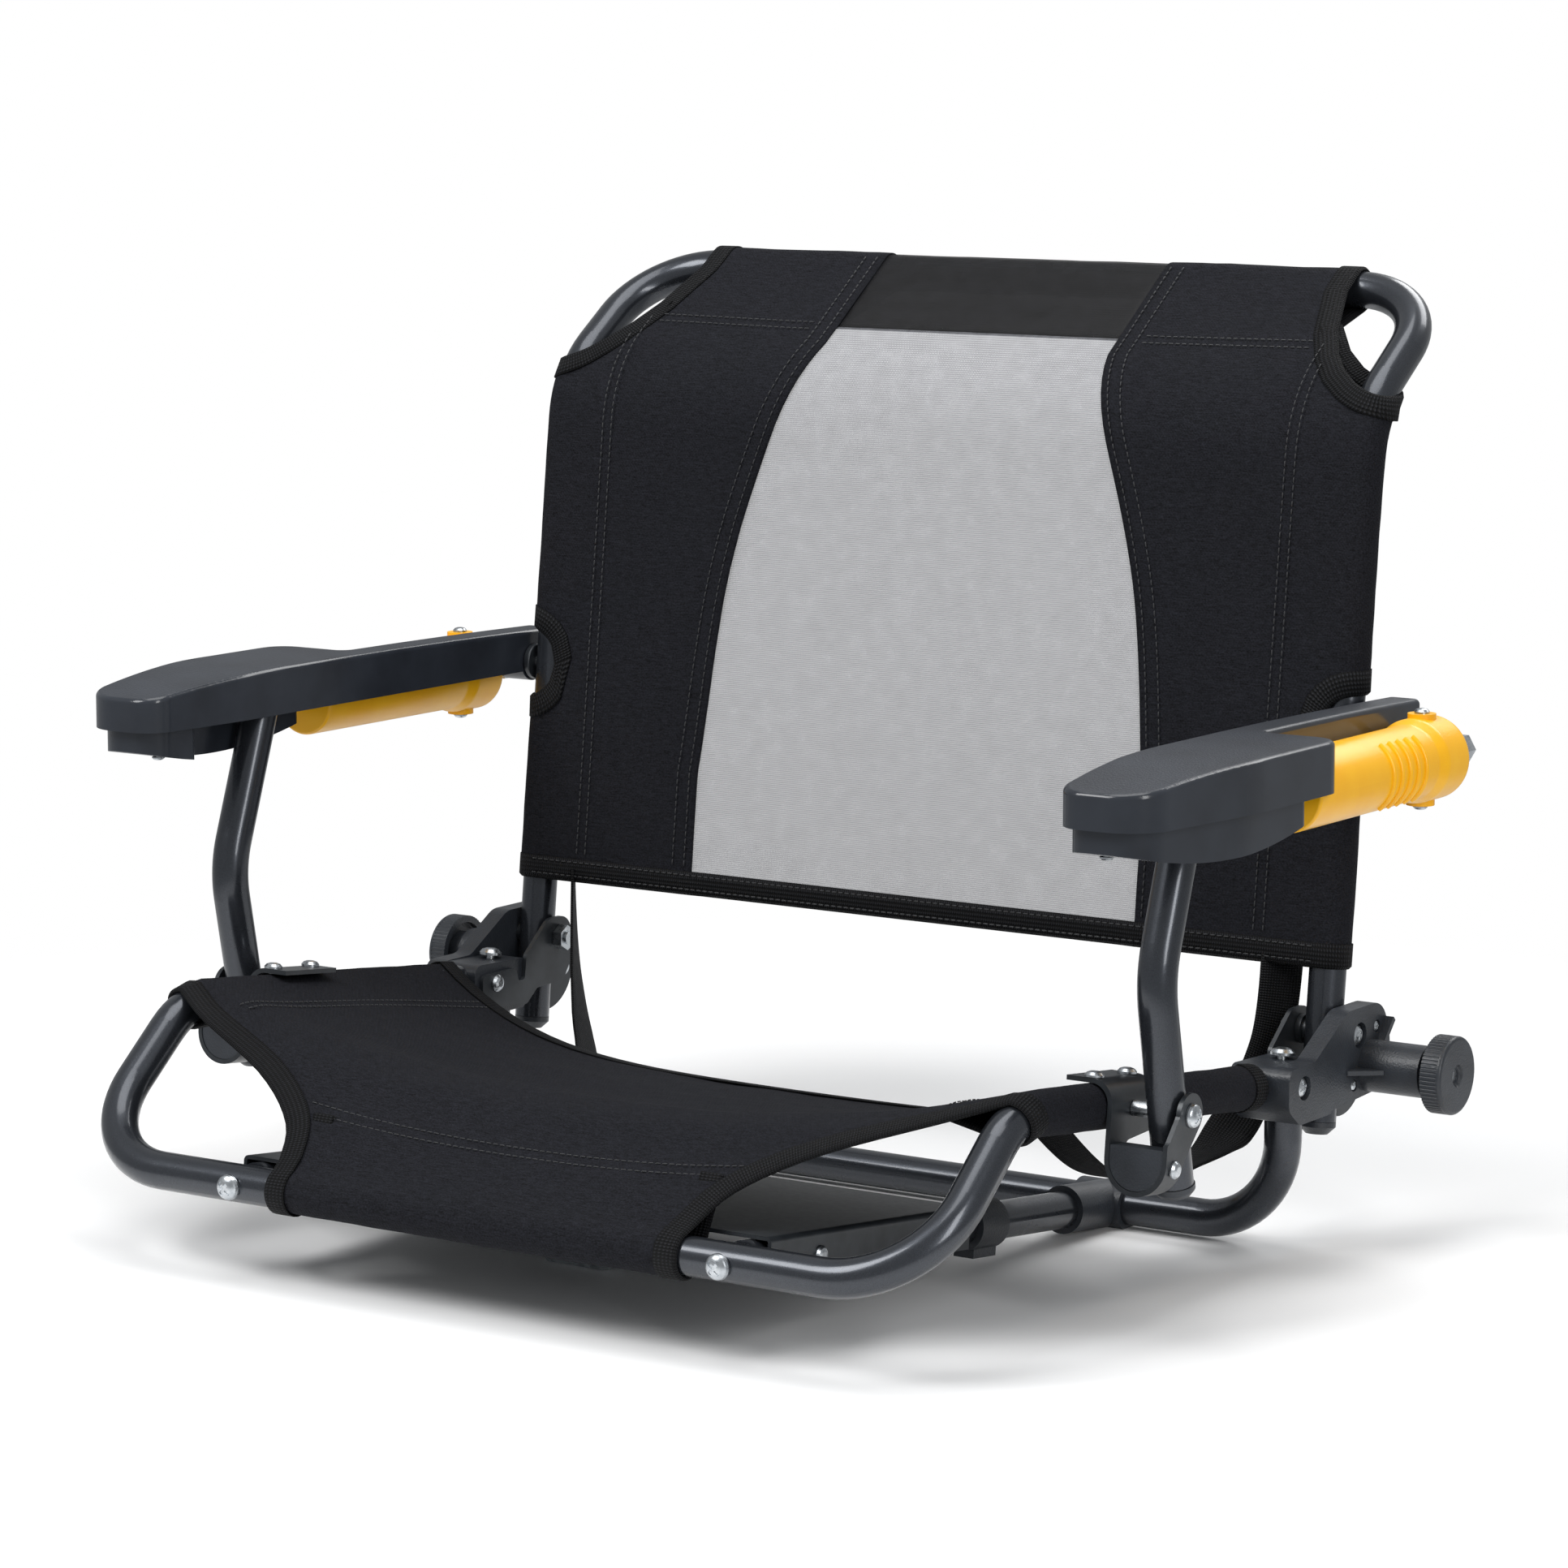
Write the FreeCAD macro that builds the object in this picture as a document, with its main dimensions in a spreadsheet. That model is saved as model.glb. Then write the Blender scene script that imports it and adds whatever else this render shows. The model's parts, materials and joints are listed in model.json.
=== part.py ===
import FreeCAD, Part
import math
import os
from FreeCAD import Placement, Rotation, Vector

# Rocking stadium seat, in millimetres. +X is the sitter's left as seen from the front, +Y is
# to the rear, +Z is up, and the ground is at zero.

X_AXIS = Vector(1, 0, 0)
Y_AXIS = Vector(0, 1, 0)
Z_AXIS = Vector(0, 0, 1)

SIZES = (
    # frame tube and overall places
    ("tube_od", 20.0), ("tube_wall", 1.5), ("rail_x", 261.0), ("front_y", -261.5), ("front_z", 51.0),
    ("hinge_y", 139.5), ("pivot_z", 111.0), ("link_base", 226.0), ("link_arm", 160.0),
    # seat loop and rear base
    ("front_rise", 40.0), ("rail_drop", 6.5), ("corner_radius", 55.0), ("knee_radius", 45.0),
    ("rail_end_gap", 36.0), ("base_y", 96.0), ("base_radius", 48.0), ("lower_rail_x", 153.0), ("foot_wall", 1.5),
    # back frame
    ("back_lean", 6.5), ("back_tail", 48.0), ("back_straight", 329.7), ("top_lean", 55.0),
    ("top_length", 103.4), ("top_radius", 50.0), ("hem_height", 35.0),
    # arm posts and their brackets
    ("post_x", 295.0), ("post_lean", 11.0), ("post_tail", 38.0), ("post_bend_up", 70.3), ("post_radius", 60.0),
    ("bracket_width", 44.0), ("bracket_sheet", 2.5),
    # hinges
    ("housing_web", 11.0), ("housing_inner", 247.5), ("housing_outer", 283.0), ("plate_sheet", 2.5),
    ("boss_od", 28.0), ("boss_length", 35.0), ("bush_od", 12.0), ("bolt_d", 8.0), ("quadrant_radius", 27.0),
    ("knob_od", 42.0), ("knob_width", 12.0), ("rock_travel", 15.0),
    # armrests, spring housings and drawbars
    ("arm_inner", 276.0), ("arm_outer", 343.0), ("bar_width", 19.5), ("arm_tip_y", -177.0), ("pad_end_y", 5.0),
    ("bar_end_y", 180.0), ("arm_skirt_z", 264.5), ("arm_top_z", 291.0), ("arm_floor_z", 243.0),
    ("shell_wall", 2.5),
    ("can_x", 316.0), ("can_z", 262.0), ("can_front_y", -7.0), ("can_length", 167.0), ("can_od", 40.0),
    ("can_bore", 35.0), ("ear_inset", 20.5), ("rod_d", 8.0), ("spring_wire", 4.0), ("spring_od", 31.0), ("spring_turns", 8.0),
    # fabric, pan and bench hook
    ("fabric", 1.8), ("front_sleeve", 128.0), ("top_sleeve", 209.0), ("window_low", 147.0), ("window_top", 93.0),
    ("seat_sag", 30.0), ("seat_rear_y", 57.0),
    ("pan_sheet", 2.0), ("pan_length", 184.0), ("hook_y", -140.5), ("hook_d", 10.0), ("hook_foot", 45.0),
    ("webbing", 25.0), ("webbing_sheet", 1.6),
)

doc = FreeCAD.newDocument("stadium_seat")
sheet = doc.addObject("Spreadsheet::Sheet", "sizes")
for row, (alias, value) in enumerate(SIZES, start=1):
    sheet.set(f"A{row}", alias)
    sheet.set(f"B{row}", str(value))
    sheet.setAlias(f"B{row}", alias)
doc.recompute()

nodes = []


def mm(alias):
    """A size from the sheet."""
    return float(sheet.get(alias))


def lean(degrees, length):
    """A run of this length in the YZ plane, leaning rearward from upright."""
    angle = math.radians(degrees)
    return Vector(0, length * math.sin(angle), length * math.cos(angle))


def node(solid, label):
    """Register a finished sub-part under the name of its file."""
    solid.Label = label
    nodes.append(solid)
    return solid


# Building helpers

def rounded_edges(corners, closed=False):
    """Straight runs between corners, each corner a (point, radius) pair with a tangent arc."""
    count = len(corners)
    starts = []
    ends = []
    arcs = []
    for index, (point, radius) in enumerate(corners):
        inner = closed or 0 < index < count - 1
        if not inner or radius == 0:
            starts.append(point)
            ends.append(point)
            arcs.append(None)
            continue
        back = (corners[index - 1][0] - point).normalize()
        ahead = (corners[(index + 1) % count][0] - point).normalize()
        half = back.getAngle(ahead) / 2
        reach = radius / math.tan(half)
        middle = (back + ahead).normalize() * (radius / math.sin(half) - radius)
        starts.append(point + back * reach)
        ends.append(point + ahead * reach)
        arcs.append(Part.Arc(point + back * reach, point + middle, point + ahead * reach))
    edges = []
    for index in range(count):
        if arcs[index]:
            edges.append(arcs[index])
        following = (index + 1) % count
        if following or closed:
            if (starts[following] - ends[index]).Length > 0.001:
                edges.append(Part.LineSegment(ends[index], starts[following]))
    return edges


def rounded_wire(corners, closed=False):
    return Part.Wire([edge.toShape() for edge in rounded_edges(corners, closed)])


def hidden_feature(name, shape):
    feature = doc.addObject("Part::Feature", name)
    feature.Shape = shape
    return feature


def swept_rod(name, corners, radius):
    """A solid round rod along a path; the radius is a formula on the sheet."""
    path = hidden_feature(name + "_path", rounded_wire(corners))
    ring = doc.addObject("Part::Circle", name + "_ring")
    ring.setExpression("Radius", radius)
    ring.Placement = Placement(corners[0][0], Rotation(Z_AXIS, corners[1][0] - corners[0][0]))
    rod = doc.addObject("Part::Sweep", name)
    rod.Sections = [ring]
    rod.Spine = (path, [f"Edge{number}" for number in range(1, len(path.Shape.Edges) + 1)])
    rod.Solid = True
    return rod


def swept_tube(name, corners, outer="sizes.tube_od / 2", inner="sizes.tube_od / 2 - sizes.tube_wall"):
    """A round tube along a path of straight runs and tangent arcs."""
    return cut(name, swept_rod(name + "_outer", corners, outer), swept_rod(name + "_bore", corners, inner))


def cylinder(name, radius, height, base, direction):
    """A cylinder from a base point; radius and height are formulas on the sheet."""
    solid = doc.addObject("Part::Cylinder", name)
    solid.setExpression("Radius", radius)
    solid.setExpression("Height", height)
    solid.Placement = Placement(base, Rotation(Z_AXIS, direction))
    return solid


def fuse(name, *solids):
    joined = doc.addObject("Part::MultiFuse", name)
    joined.Shapes = list(solids)
    joined.Refine = True
    return joined


def cut(name, base, *tools):
    solid = doc.addObject("Part::Cut", name)
    solid.Base = base
    solid.Tool = tools[0] if len(tools) == 1 else fuse(name + "_tools", *tools)
    return solid


def mirrored(name, source):
    """The same sub-part on the other side of the seat."""
    other = doc.addObject("Part::Mirroring", name)
    other.Source = source
    other.Normal = X_AXIS
    return other


def node_pair(solid, label):
    """A right-hand node and its mirror image."""
    node(solid, label + "_right")
    node(mirrored(label + "_mirror", solid), label + "_left")


def both_sides(label, solid):
    """One node that holds a sub-part and its mirror image as two solids."""
    group = doc.addObject("Part::Compound", label + "_group")
    group.Links = [solid, mirrored(label + "_mirror", solid)]
    return node(group, label)


def new_body(name):
    return doc.addObject("PartDesign::Body", name)


def sketch_on(body, role, offset, edges):
    """A sketch on one of the body's origin planes, moved along the plane's normal."""
    plane = next(item for item in body.Origin.OriginFeatures if item.Role == role)
    sketch = body.newObject("Sketcher::SketchObject", body.Name + "_sketch")
    sketch.AttachmentSupport = [(plane, "")]
    sketch.MapMode = "FlatFace"
    sketch.AttachmentOffset = Placement(Vector(0, 0, offset), Rotation())
    for edge in edges:
        sketch.addGeometry(edge, False)
    return sketch


def flat(*corners):
    """Closed outline edges from (u, v, radius) corners in a sketch plane."""
    return rounded_edges([(Vector(u, v, 0), radius) for u, v, radius in corners], closed=True)


def circle_edges(*circles):
    return [Part.Circle(Vector(u, v, 0), Z_AXIS, radius) for u, v, radius in circles]


def pad(body, sketch, length):
    feature = body.newObject("PartDesign::Pad", body.Name + "_pad")
    feature.Profile = sketch
    feature.setExpression("Length", length)
    body.Tip = feature
    return feature


def pocket(body, sketch, length=None, reverse=False):
    """A blind pocket of the given length, or one through everything."""
    feature = body.newObject("PartDesign::Pocket", body.Name + "_pocket")
    feature.Profile = sketch
    if length:
        feature.setExpression("Length", length)
        feature.Reversed = reverse
    else:
        feature.Type = 1
        feature.Midplane = True
    body.Tip = feature
    return feature


def turned(name, profile, base, direction):
    """A solid of revolution from a closed (radius, height) outline, its axis along a direction."""
    body = new_body(name)
    sketch = sketch_on(body, "XZ_Plane", 0, flat(*profile))
    turn = body.newObject("PartDesign::Revolution", name + "_turn")
    turn.Profile = sketch
    turn.ReferenceAxis = (sketch, ["V_Axis"])
    turn.Angle = 360
    body.Tip = turn
    body.Placement = Placement(base, Rotation(Z_AXIS, direction))
    return body


def placed(shape, base, direction):
    copy = shape.copy()
    copy.Placement = Placement(base, Rotation(Z_AXIS, direction))
    return copy


def dome_screw(head_d, head_h, shank_d, shank_l):
    """A screw or rivet with a low domed head above its own zero and the shank below."""
    radius = head_d / 2
    shank_r = shank_d / 2
    outline = [Vector(0, 0, -shank_l), Vector(shank_r, 0, -shank_l), Vector(shank_r, 0, 0), Vector(radius, 0, 0),
               Vector(radius, 0, head_h * 0.35), Vector(radius * 0.76, 0, head_h * 0.8),
               Vector(radius * 0.4, 0, head_h), Vector(0, 0, head_h), Vector(0, 0, -shank_l)]
    return Part.Face(Part.makePolygon(outline)).revolve(Vector(), Z_AXIS, 360)


def hex_nut(across, height, bore_d):
    corner = across / math.sqrt(3)
    points = [Vector(corner * math.cos(math.radians(60 * k)), corner * math.sin(math.radians(60 * k)), 0)
              for k in range(7)]
    blank = Part.Face(Part.makePolygon(points)).extrude(Vector(0, 0, height))
    return blank.cut(Part.makeCylinder(bore_d / 2, height))


def fastener_group(label, copies):
    """Fasteners of one kind as one node: (shape, base, head direction) for each."""
    return node(hidden_feature(label + "_set", Part.makeCompound([placed(*copy) for copy in copies])), label)


# Places worked out from the driving sizes

rail_x = mm("rail_x")
tube_r = mm("tube_od") / 2
hinge = Vector(rail_x, mm("hinge_y"), mm("pivot_z"))
post_pivot = Vector(mm("post_x"), mm("hinge_y") - mm("link_base"), mm("pivot_z"))
link = lean(mm("back_lean"), mm("link_arm"))
arm_pivot = hinge + link
post_top = post_pivot + link
front_corner = Vector(rail_x, mm("front_y"), mm("front_z"))
rise = math.tan(math.radians(mm("front_rise")))
drop = math.tan(math.radians(mm("rail_drop")))
rail_run = Vector(0, 1, -drop).normalize()


def rail_point(y):
    """The right side rail's centre line at this Y."""
    return Vector(rail_x, y, mm("pivot_z") - (y - post_pivot.y) * drop)


knee_y = (mm("pivot_z") - mm("front_z") + post_pivot.y * drop + front_corner.y * rise) / (rise + drop)
rail_knee = rail_point(knee_y)
rail_end = rail_point(mm("hinge_y") - mm("rail_end_gap"))
base_corner = Vector(rail_x, mm("base_y"), tube_r + mm("foot_wall"))
back_foot = hinge + lean(mm("back_lean"), -mm("back_tail"))
back_knee = hinge + lean(mm("back_lean"), mm("back_straight"))
top_corner = back_knee + lean(mm("top_lean"), mm("top_length"))
lower_front = Vector(mm("lower_rail_x"), mm("front_y"), mm("front_z"))
lower_rear = Vector(mm("lower_rail_x"), mm("base_y"), base_corner.z)
lower_run = (lower_rear - lower_front).normalize()
lower_tilt = math.degrees(math.atan2(lower_front.z - lower_rear.z, lower_rear.y - lower_front.y))


def left(point):
    return Vector(-point.x, point.y, point.z)


# Seat frame

def seat_loop_tube():
    half = [(rail_end, 0), (rail_knee, mm("knee_radius")), (front_corner, mm("corner_radius"))]
    other = [(left(point), radius) for point, radius in reversed(half)]
    tube = swept_tube("seat_loop", half + other)
    node(tube, "seat_loop_tube")


def rear_base_tube():
    top = Vector(rail_x, mm("base_y"), rail_point(mm("base_y")).z - tube_r - 1)
    half = [(top, 0), (base_corner, mm("base_radius"))]
    other = [(left(point), radius) for point, radius in reversed(half)]
    node(swept_tube("rear_base", half + other), "rear_base_tube")


def lower_rail_tubes():
    start = lower_front + lower_run * (tube_r + 0.4)
    end = lower_rear - lower_run * (tube_r + 0.4)
    both_sides("lower_rail_tubes", swept_tube("lower_rail", [(start, 0), (end, 0)]))


def lower_rail_sleeves():
    """Moulded sleeves half way along the lower rails, each with a lug underneath."""
    start = lower_front + lower_run * 212
    sleeve = cylinder("sleeve_ring", "sizes.tube_od / 2 + 3.5", "26", start, lower_run)
    lug = doc.addObject("Part::Box", "sleeve_lug")
    lug.Length = 12
    lug.Width = 22
    lug.Height = 8
    lug.Placement = Placement(start + lower_run * 2 + Vector(-6, 0, -tube_r - 7), Rotation(X_AXIS, -lower_tilt))
    bore = cylinder("sleeve_bore", "sizes.tube_od / 2 + 0.05", "30", start - lower_run * 2, lower_run)
    both_sides("lower_rail_sleeves", cut("sleeve", fuse("sleeve_body", sleeve, lug), bore))


def base_saddles():
    """Moulded ends that join each lower rail to the rear base tube, flat underneath as feet."""
    start = lower_rear - lower_run * 46
    barrel = cylinder("saddle_barrel", "sizes.tube_od / 2 + 3", "60", start, lower_run)
    grip = cylinder("saddle_grip", "sizes.tube_od / 2 + 3", "30", lower_rear - X_AXIS * 15, X_AXIS)
    rail_bore = cylinder("saddle_rail_bore", "sizes.tube_od / 2 + 0.05", "46", start - lower_run, lower_run)
    base_bore = cylinder("saddle_base_bore", "sizes.tube_od / 2 + 0.05", "40", lower_rear - X_AXIS * 20, X_AXIS)
    ground = doc.addObject("Part::Box", "saddle_ground")
    ground.Length = 80
    ground.Width = 120
    ground.Height = 20
    ground.Placement.Base = Vector(lower_rear.x - 40, lower_rear.y - 70, -20)
    solid = cut("saddle", fuse("saddle_body", barrel, grip), rail_bore, base_bore, ground)
    both_sides("base_saddles", solid)


# Under-seat pan and bench hook

def under_seat_pan():
    """Folded steel pan: a plate on the lower rails with a flange down each side and a stiffening lip."""
    half = mm("lower_rail_x") + tube_r + 2.5
    sheet_t = mm("pan_sheet")
    top = tube_r + 0.4
    deep = 2 * tube_r
    body = new_body("pan")
    profile = flat((-half, top + sheet_t, 3), (half, top + sheet_t, 3), (half, top - deep, 0),
                   (half - sheet_t, top - deep, 0), (half - sheet_t, top, 1), (-half + sheet_t, top, 1),
                   (-half + sheet_t, top - deep, 0), (-half, top - deep, 0))
    sketch = sketch_on(body, "XZ_Plane", -(16 + mm("pan_length")), profile)
    pad(body, sketch, "sizes.pan_length")
    slope = math.radians(lower_tilt)
    hook_run = (mm("hook_y") - mm("front_y") - (top + 1) * math.sin(slope)) / math.cos(slope)
    pocket(body, sketch_on(body, "XY_Plane", 0, circle_edges((0, hook_run, mm("hook_d") / 2 + 3.4))))
    for side in (-1, 1):
        trim = flat((16, -top, 0), (75, top - deep - 1, 0), (16, top - deep - 1, 0))
        wedge = sketch_on(body, "YZ_Plane", side * half, trim)
        pocket(body, wedge, "sizes.pan_sheet * 2", reverse=side < 0)
    body.Placement = Placement(Vector(0, mm("front_y"), mm("front_z")), Rotation(X_AXIS, -lower_tilt))
    node(body, "under_seat_pan")


def hook_top_z():
    """The pan plate's top face above the bench hook."""
    run = mm("hook_y") - mm("front_y")
    return mm("front_z") - run * math.tan(math.radians(lower_tilt)) + tube_r + 0.4 + mm("pan_sheet")


def bench_hook():
    """The L-hook that catches under a bench plank, and what holds it in the pan."""
    foot_z = mm("hook_d") / 2
    top = Vector(0, mm("hook_y"), hook_top_z() + 9)
    corners = [(top, 0), (Vector(0, mm("hook_y"), foot_z), 12), (Vector(-mm("hook_foot"), mm("hook_y"), foot_z), 0)]
    node(swept_rod("hook_rod", corners, "sizes.hook_d / 2"), "bench_hook")
    bore = mm("hook_d") / 2 + 0.05
    seat_z = hook_top_z() - mm("pan_sheet") - 5
    profile = ((bore, 0, 0), (bore + 7, 0, 0), (bore + 7, 3, 0), (bore + 2.9, 3, 0), (bore + 2.9, 10, 0), (bore, 10, 0))
    bush = turned("hook_bush", profile, Vector(0, mm("hook_y"), seat_z), Z_AXIS)
    nut = hidden_feature("hook_nut", placed(hex_nut(16, 6, mm("hook_d") + 0.1), Vector(0, mm("hook_y"), seat_z + 10.2), Z_AXIS))
    group = doc.addObject("Part::Compound", "hook_retainer_group")
    group.Links = [bush, nut]
    node(group, "hook_retainer")


# Hinges between seat and back

def hinge_housing():
    """Moulded outer housing: a socket for the rail and leg, a web up to the pivot, a boss for the knob."""
    y = hinge.y
    z = hinge.z
    outer = mm("housing_outer")
    body = new_body("housing")
    web = flat((y - 78, z - 6, 8), (y - 50, z - 6, 10), (y - 14, z + 15, 16), (y + 26, z + 15, 16),
               (y + 34, z - 6, 14), (y + 34, z - 32, 12), (y - 66, z - 37, 6), (y - 78, z - 28, 8))
    pad(body, sketch_on(body, "YZ_Plane", outer - mm("housing_web"), web), "sizes.housing_web")
    block = flat((y - 78, z - 6, 6), (y - 30, z - 8, 3), (y - 30, z - 37, 3), (y - 66, z - 37, 6), (y - 78, z - 28, 8))
    pad(body, sketch_on(body, "YZ_Plane", mm("housing_inner"), block),
        "sizes.housing_outer - sizes.housing_inner")
    boss_y = y + 11.6
    boss_z = z - 18
    pad(body, sketch_on(body, "YZ_Plane", outer - 4, circle_edges((boss_y, boss_z, mm("boss_od") / 2))),
        "sizes.boss_length + 4")
    gusset = flat((outer - 1, boss_y - 27, 0), (outer - 1, boss_y, 0), (outer + 16, boss_y, 0),
                  (outer + 16, boss_y - 15, 0), (outer + 1, boss_y - 27, 0))
    pad(body, sketch_on(body, "XY_Plane", boss_z - 1.2, gusset), "2.4")
    rib = flat((boss_y + 6, boss_z + 8, 0), (boss_y + 19, boss_z + 22, 0), (boss_y + 17, boss_z + 24, 0),
               (boss_y + 4, boss_z + 10, 0))
    pad(body, sketch_on(body, "YZ_Plane", outer - 1, rib), "6")
    pocket(body, sketch_on(body, "YZ_Plane", outer, circle_edges((y, z, 7), (y - 61, z - 18, 6.5))), "4")
    small_seats = circle_edges((y + 19, z + 2, 3.4), (y - 6, z - 26, 3.4))
    pocket(body, sketch_on(body, "YZ_Plane", outer, small_seats), "1.5")
    pocket(body, sketch_on(body, "YZ_Plane", outer, circle_edges((y, z, mm("bolt_d") / 2 + 0.05))))
    pocket(body, sketch_on(body, "YZ_Plane", outer, circle_edges((boss_y, boss_z, mm("bolt_d") / 2 + 0.05))))
    pad_seat = circle_edges((boss_y, boss_z, 8.4))
    pocket(body, sketch_on(body, "YZ_Plane", outer - mm("housing_web"), pad_seat), "4.2", reverse=True)
    rail_bore = cylinder("housing_rail_bore", "sizes.tube_od / 2 + 0.05", "80", rail_end - rail_run * 80, rail_run)
    leg_top = Vector(rail_x, mm("base_y"), 0)
    leg_bore = cylinder("housing_leg_bore", "sizes.tube_od / 2 + 0.09", "sizes.pivot_z - 22", leg_top, Z_AXIS)
    node_pair(cut("housing_bored", body, rail_bore, leg_bore), "hinge_housing")


def hinge_plate():
    """Steel plate on the inner side, from the rail socket up to the pivot nut."""
    y = hinge.y
    z = hinge.z
    body = new_body("plate")
    outline = flat((y - 74, z - 12, 4), (y - 42, z - 12, 4), (y - 40, z - 20, 2), (y - 34, z - 20, 2), (y - 32, z - 6, 6),
                   (y - 10, z + 12, 9), (y + 12, z + 12, 11), (y + 12, z - 14, 8), (y + 4, z - 26, 5), (y - 22, z - 27, 5),
                   (y - 32, z - 35, 5), (y - 74, z - 31, 6))
    start = mm("housing_inner") - mm("plate_sheet") - 0.2
    pad(body, sketch_on(body, "YZ_Plane", start, outline), "sizes.plate_sheet")
    holes = circle_edges((y, z, mm("bolt_d") / 2 + 0.05), (y - 61, z - 18, 3.05))
    pocket(body, sketch_on(body, "YZ_Plane", start, holes))
    node_pair(body, "hinge_plate")


def hinge_pivots():
    """Pivot bolts through the hinges, and the flanged bushes that the back frame turns on."""
    bolt_r = mm("bolt_d") / 2
    head = mm("housing_outer") - 4
    tail = mm("housing_inner") - mm("plate_sheet") - 8
    profile = ((0, 0, 0), (bolt_r, 0, 0), (bolt_r, head - tail, 0), (5.5, head - tail, 0), (5.5, head - tail + 2, 0),
               (3.5, head - tail + 3.4, 0), (0, head - tail + 3.4, 0))
    shank = turned("pivot_shank", profile, Vector(tail, hinge.y, hinge.z), X_AXIS)
    nut = hidden_feature("pivot_nut", placed(hex_nut(13, 6, mm("bolt_d") - 0.02),
                                             Vector(tail + 1.6, hinge.y, hinge.z), X_AXIS))
    both_sides("hinge_pivot_bolts", fuse("pivot_bolt", shank, nut))
    bore = bolt_r + 0.05
    bush_r = mm("bush_od") / 2
    low = mm("housing_inner") + 0.15
    high = mm("housing_outer") - mm("housing_web") - 0.2
    face = rail_x - tube_r - 0.3
    bush = ((bore, 0, 0), (bush_r + 2, 0, 0), (bush_r + 2, face - low, 0), (bush_r, face - low, 0),
            (bush_r, high - low, 0), (bore, high - low, 0))
    both_sides("hinge_bushes", turned("pivot_bush", bush, Vector(low, hinge.y, hinge.z), X_AXIS))


def clamp_knobs():
    """Knurled knob with a hollow back on a clamp screw that presses a friction pad on the quadrant."""
    axis = Vector(0, hinge.y + 11.6, hinge.z - 18)
    boss_end = mm("housing_outer") + mm("boss_length")
    rim_r = mm("knob_od") / 2
    wide = mm("knob_width")
    start = boss_end + 1
    back = 8
    profile = ((3.9, 0, 0), (11.5, 0, 0), (11.5, back, 0), (rim_r - 4, back, 1), (rim_r - 4, back - 4, 0),
               (rim_r, back - 4, 0), (rim_r, back + wide - 4, 2), (6, back + wide - 4, 0), (5, back + wide - 6, 1),
               (3.9, back + wide - 6, 0))
    knob = turned("knob_blank", profile, axis + X_AXIS * start, X_AXIS)
    teeth = 60
    cuts = []
    for tooth in range(teeth):
        angle = 2 * math.pi * tooth / teeth
        place = axis + Vector(start + back - 4.5, (rim_r + 0.3) * math.cos(angle), (rim_r + 0.3) * math.sin(angle))
        cuts.append(placed(Part.makeCylinder(0.65, wide - 2), place, X_AXIS))
    knurl = hidden_feature("knurl_notches", Part.makeCompound(cuts))
    node_pair(cut("knob", knob, knurl), "clamp_knob")
    pad_x = mm("housing_outer") - mm("housing_web") - 0.7
    bolt_r = mm("bolt_d") / 2
    screw = ((0, 0, 0), (8, 0, 0), (8, 4, 0), (bolt_r, 4, 0), (bolt_r, start + back + wide - 7 - pad_x, 0),
             (0, start + back + wide - 7 - pad_x, 0))
    node_pair(turned("clamp_stem", screw, axis + X_AXIS * pad_x, X_AXIS), "clamp_screw")


# Arm posts and their brackets

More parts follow.
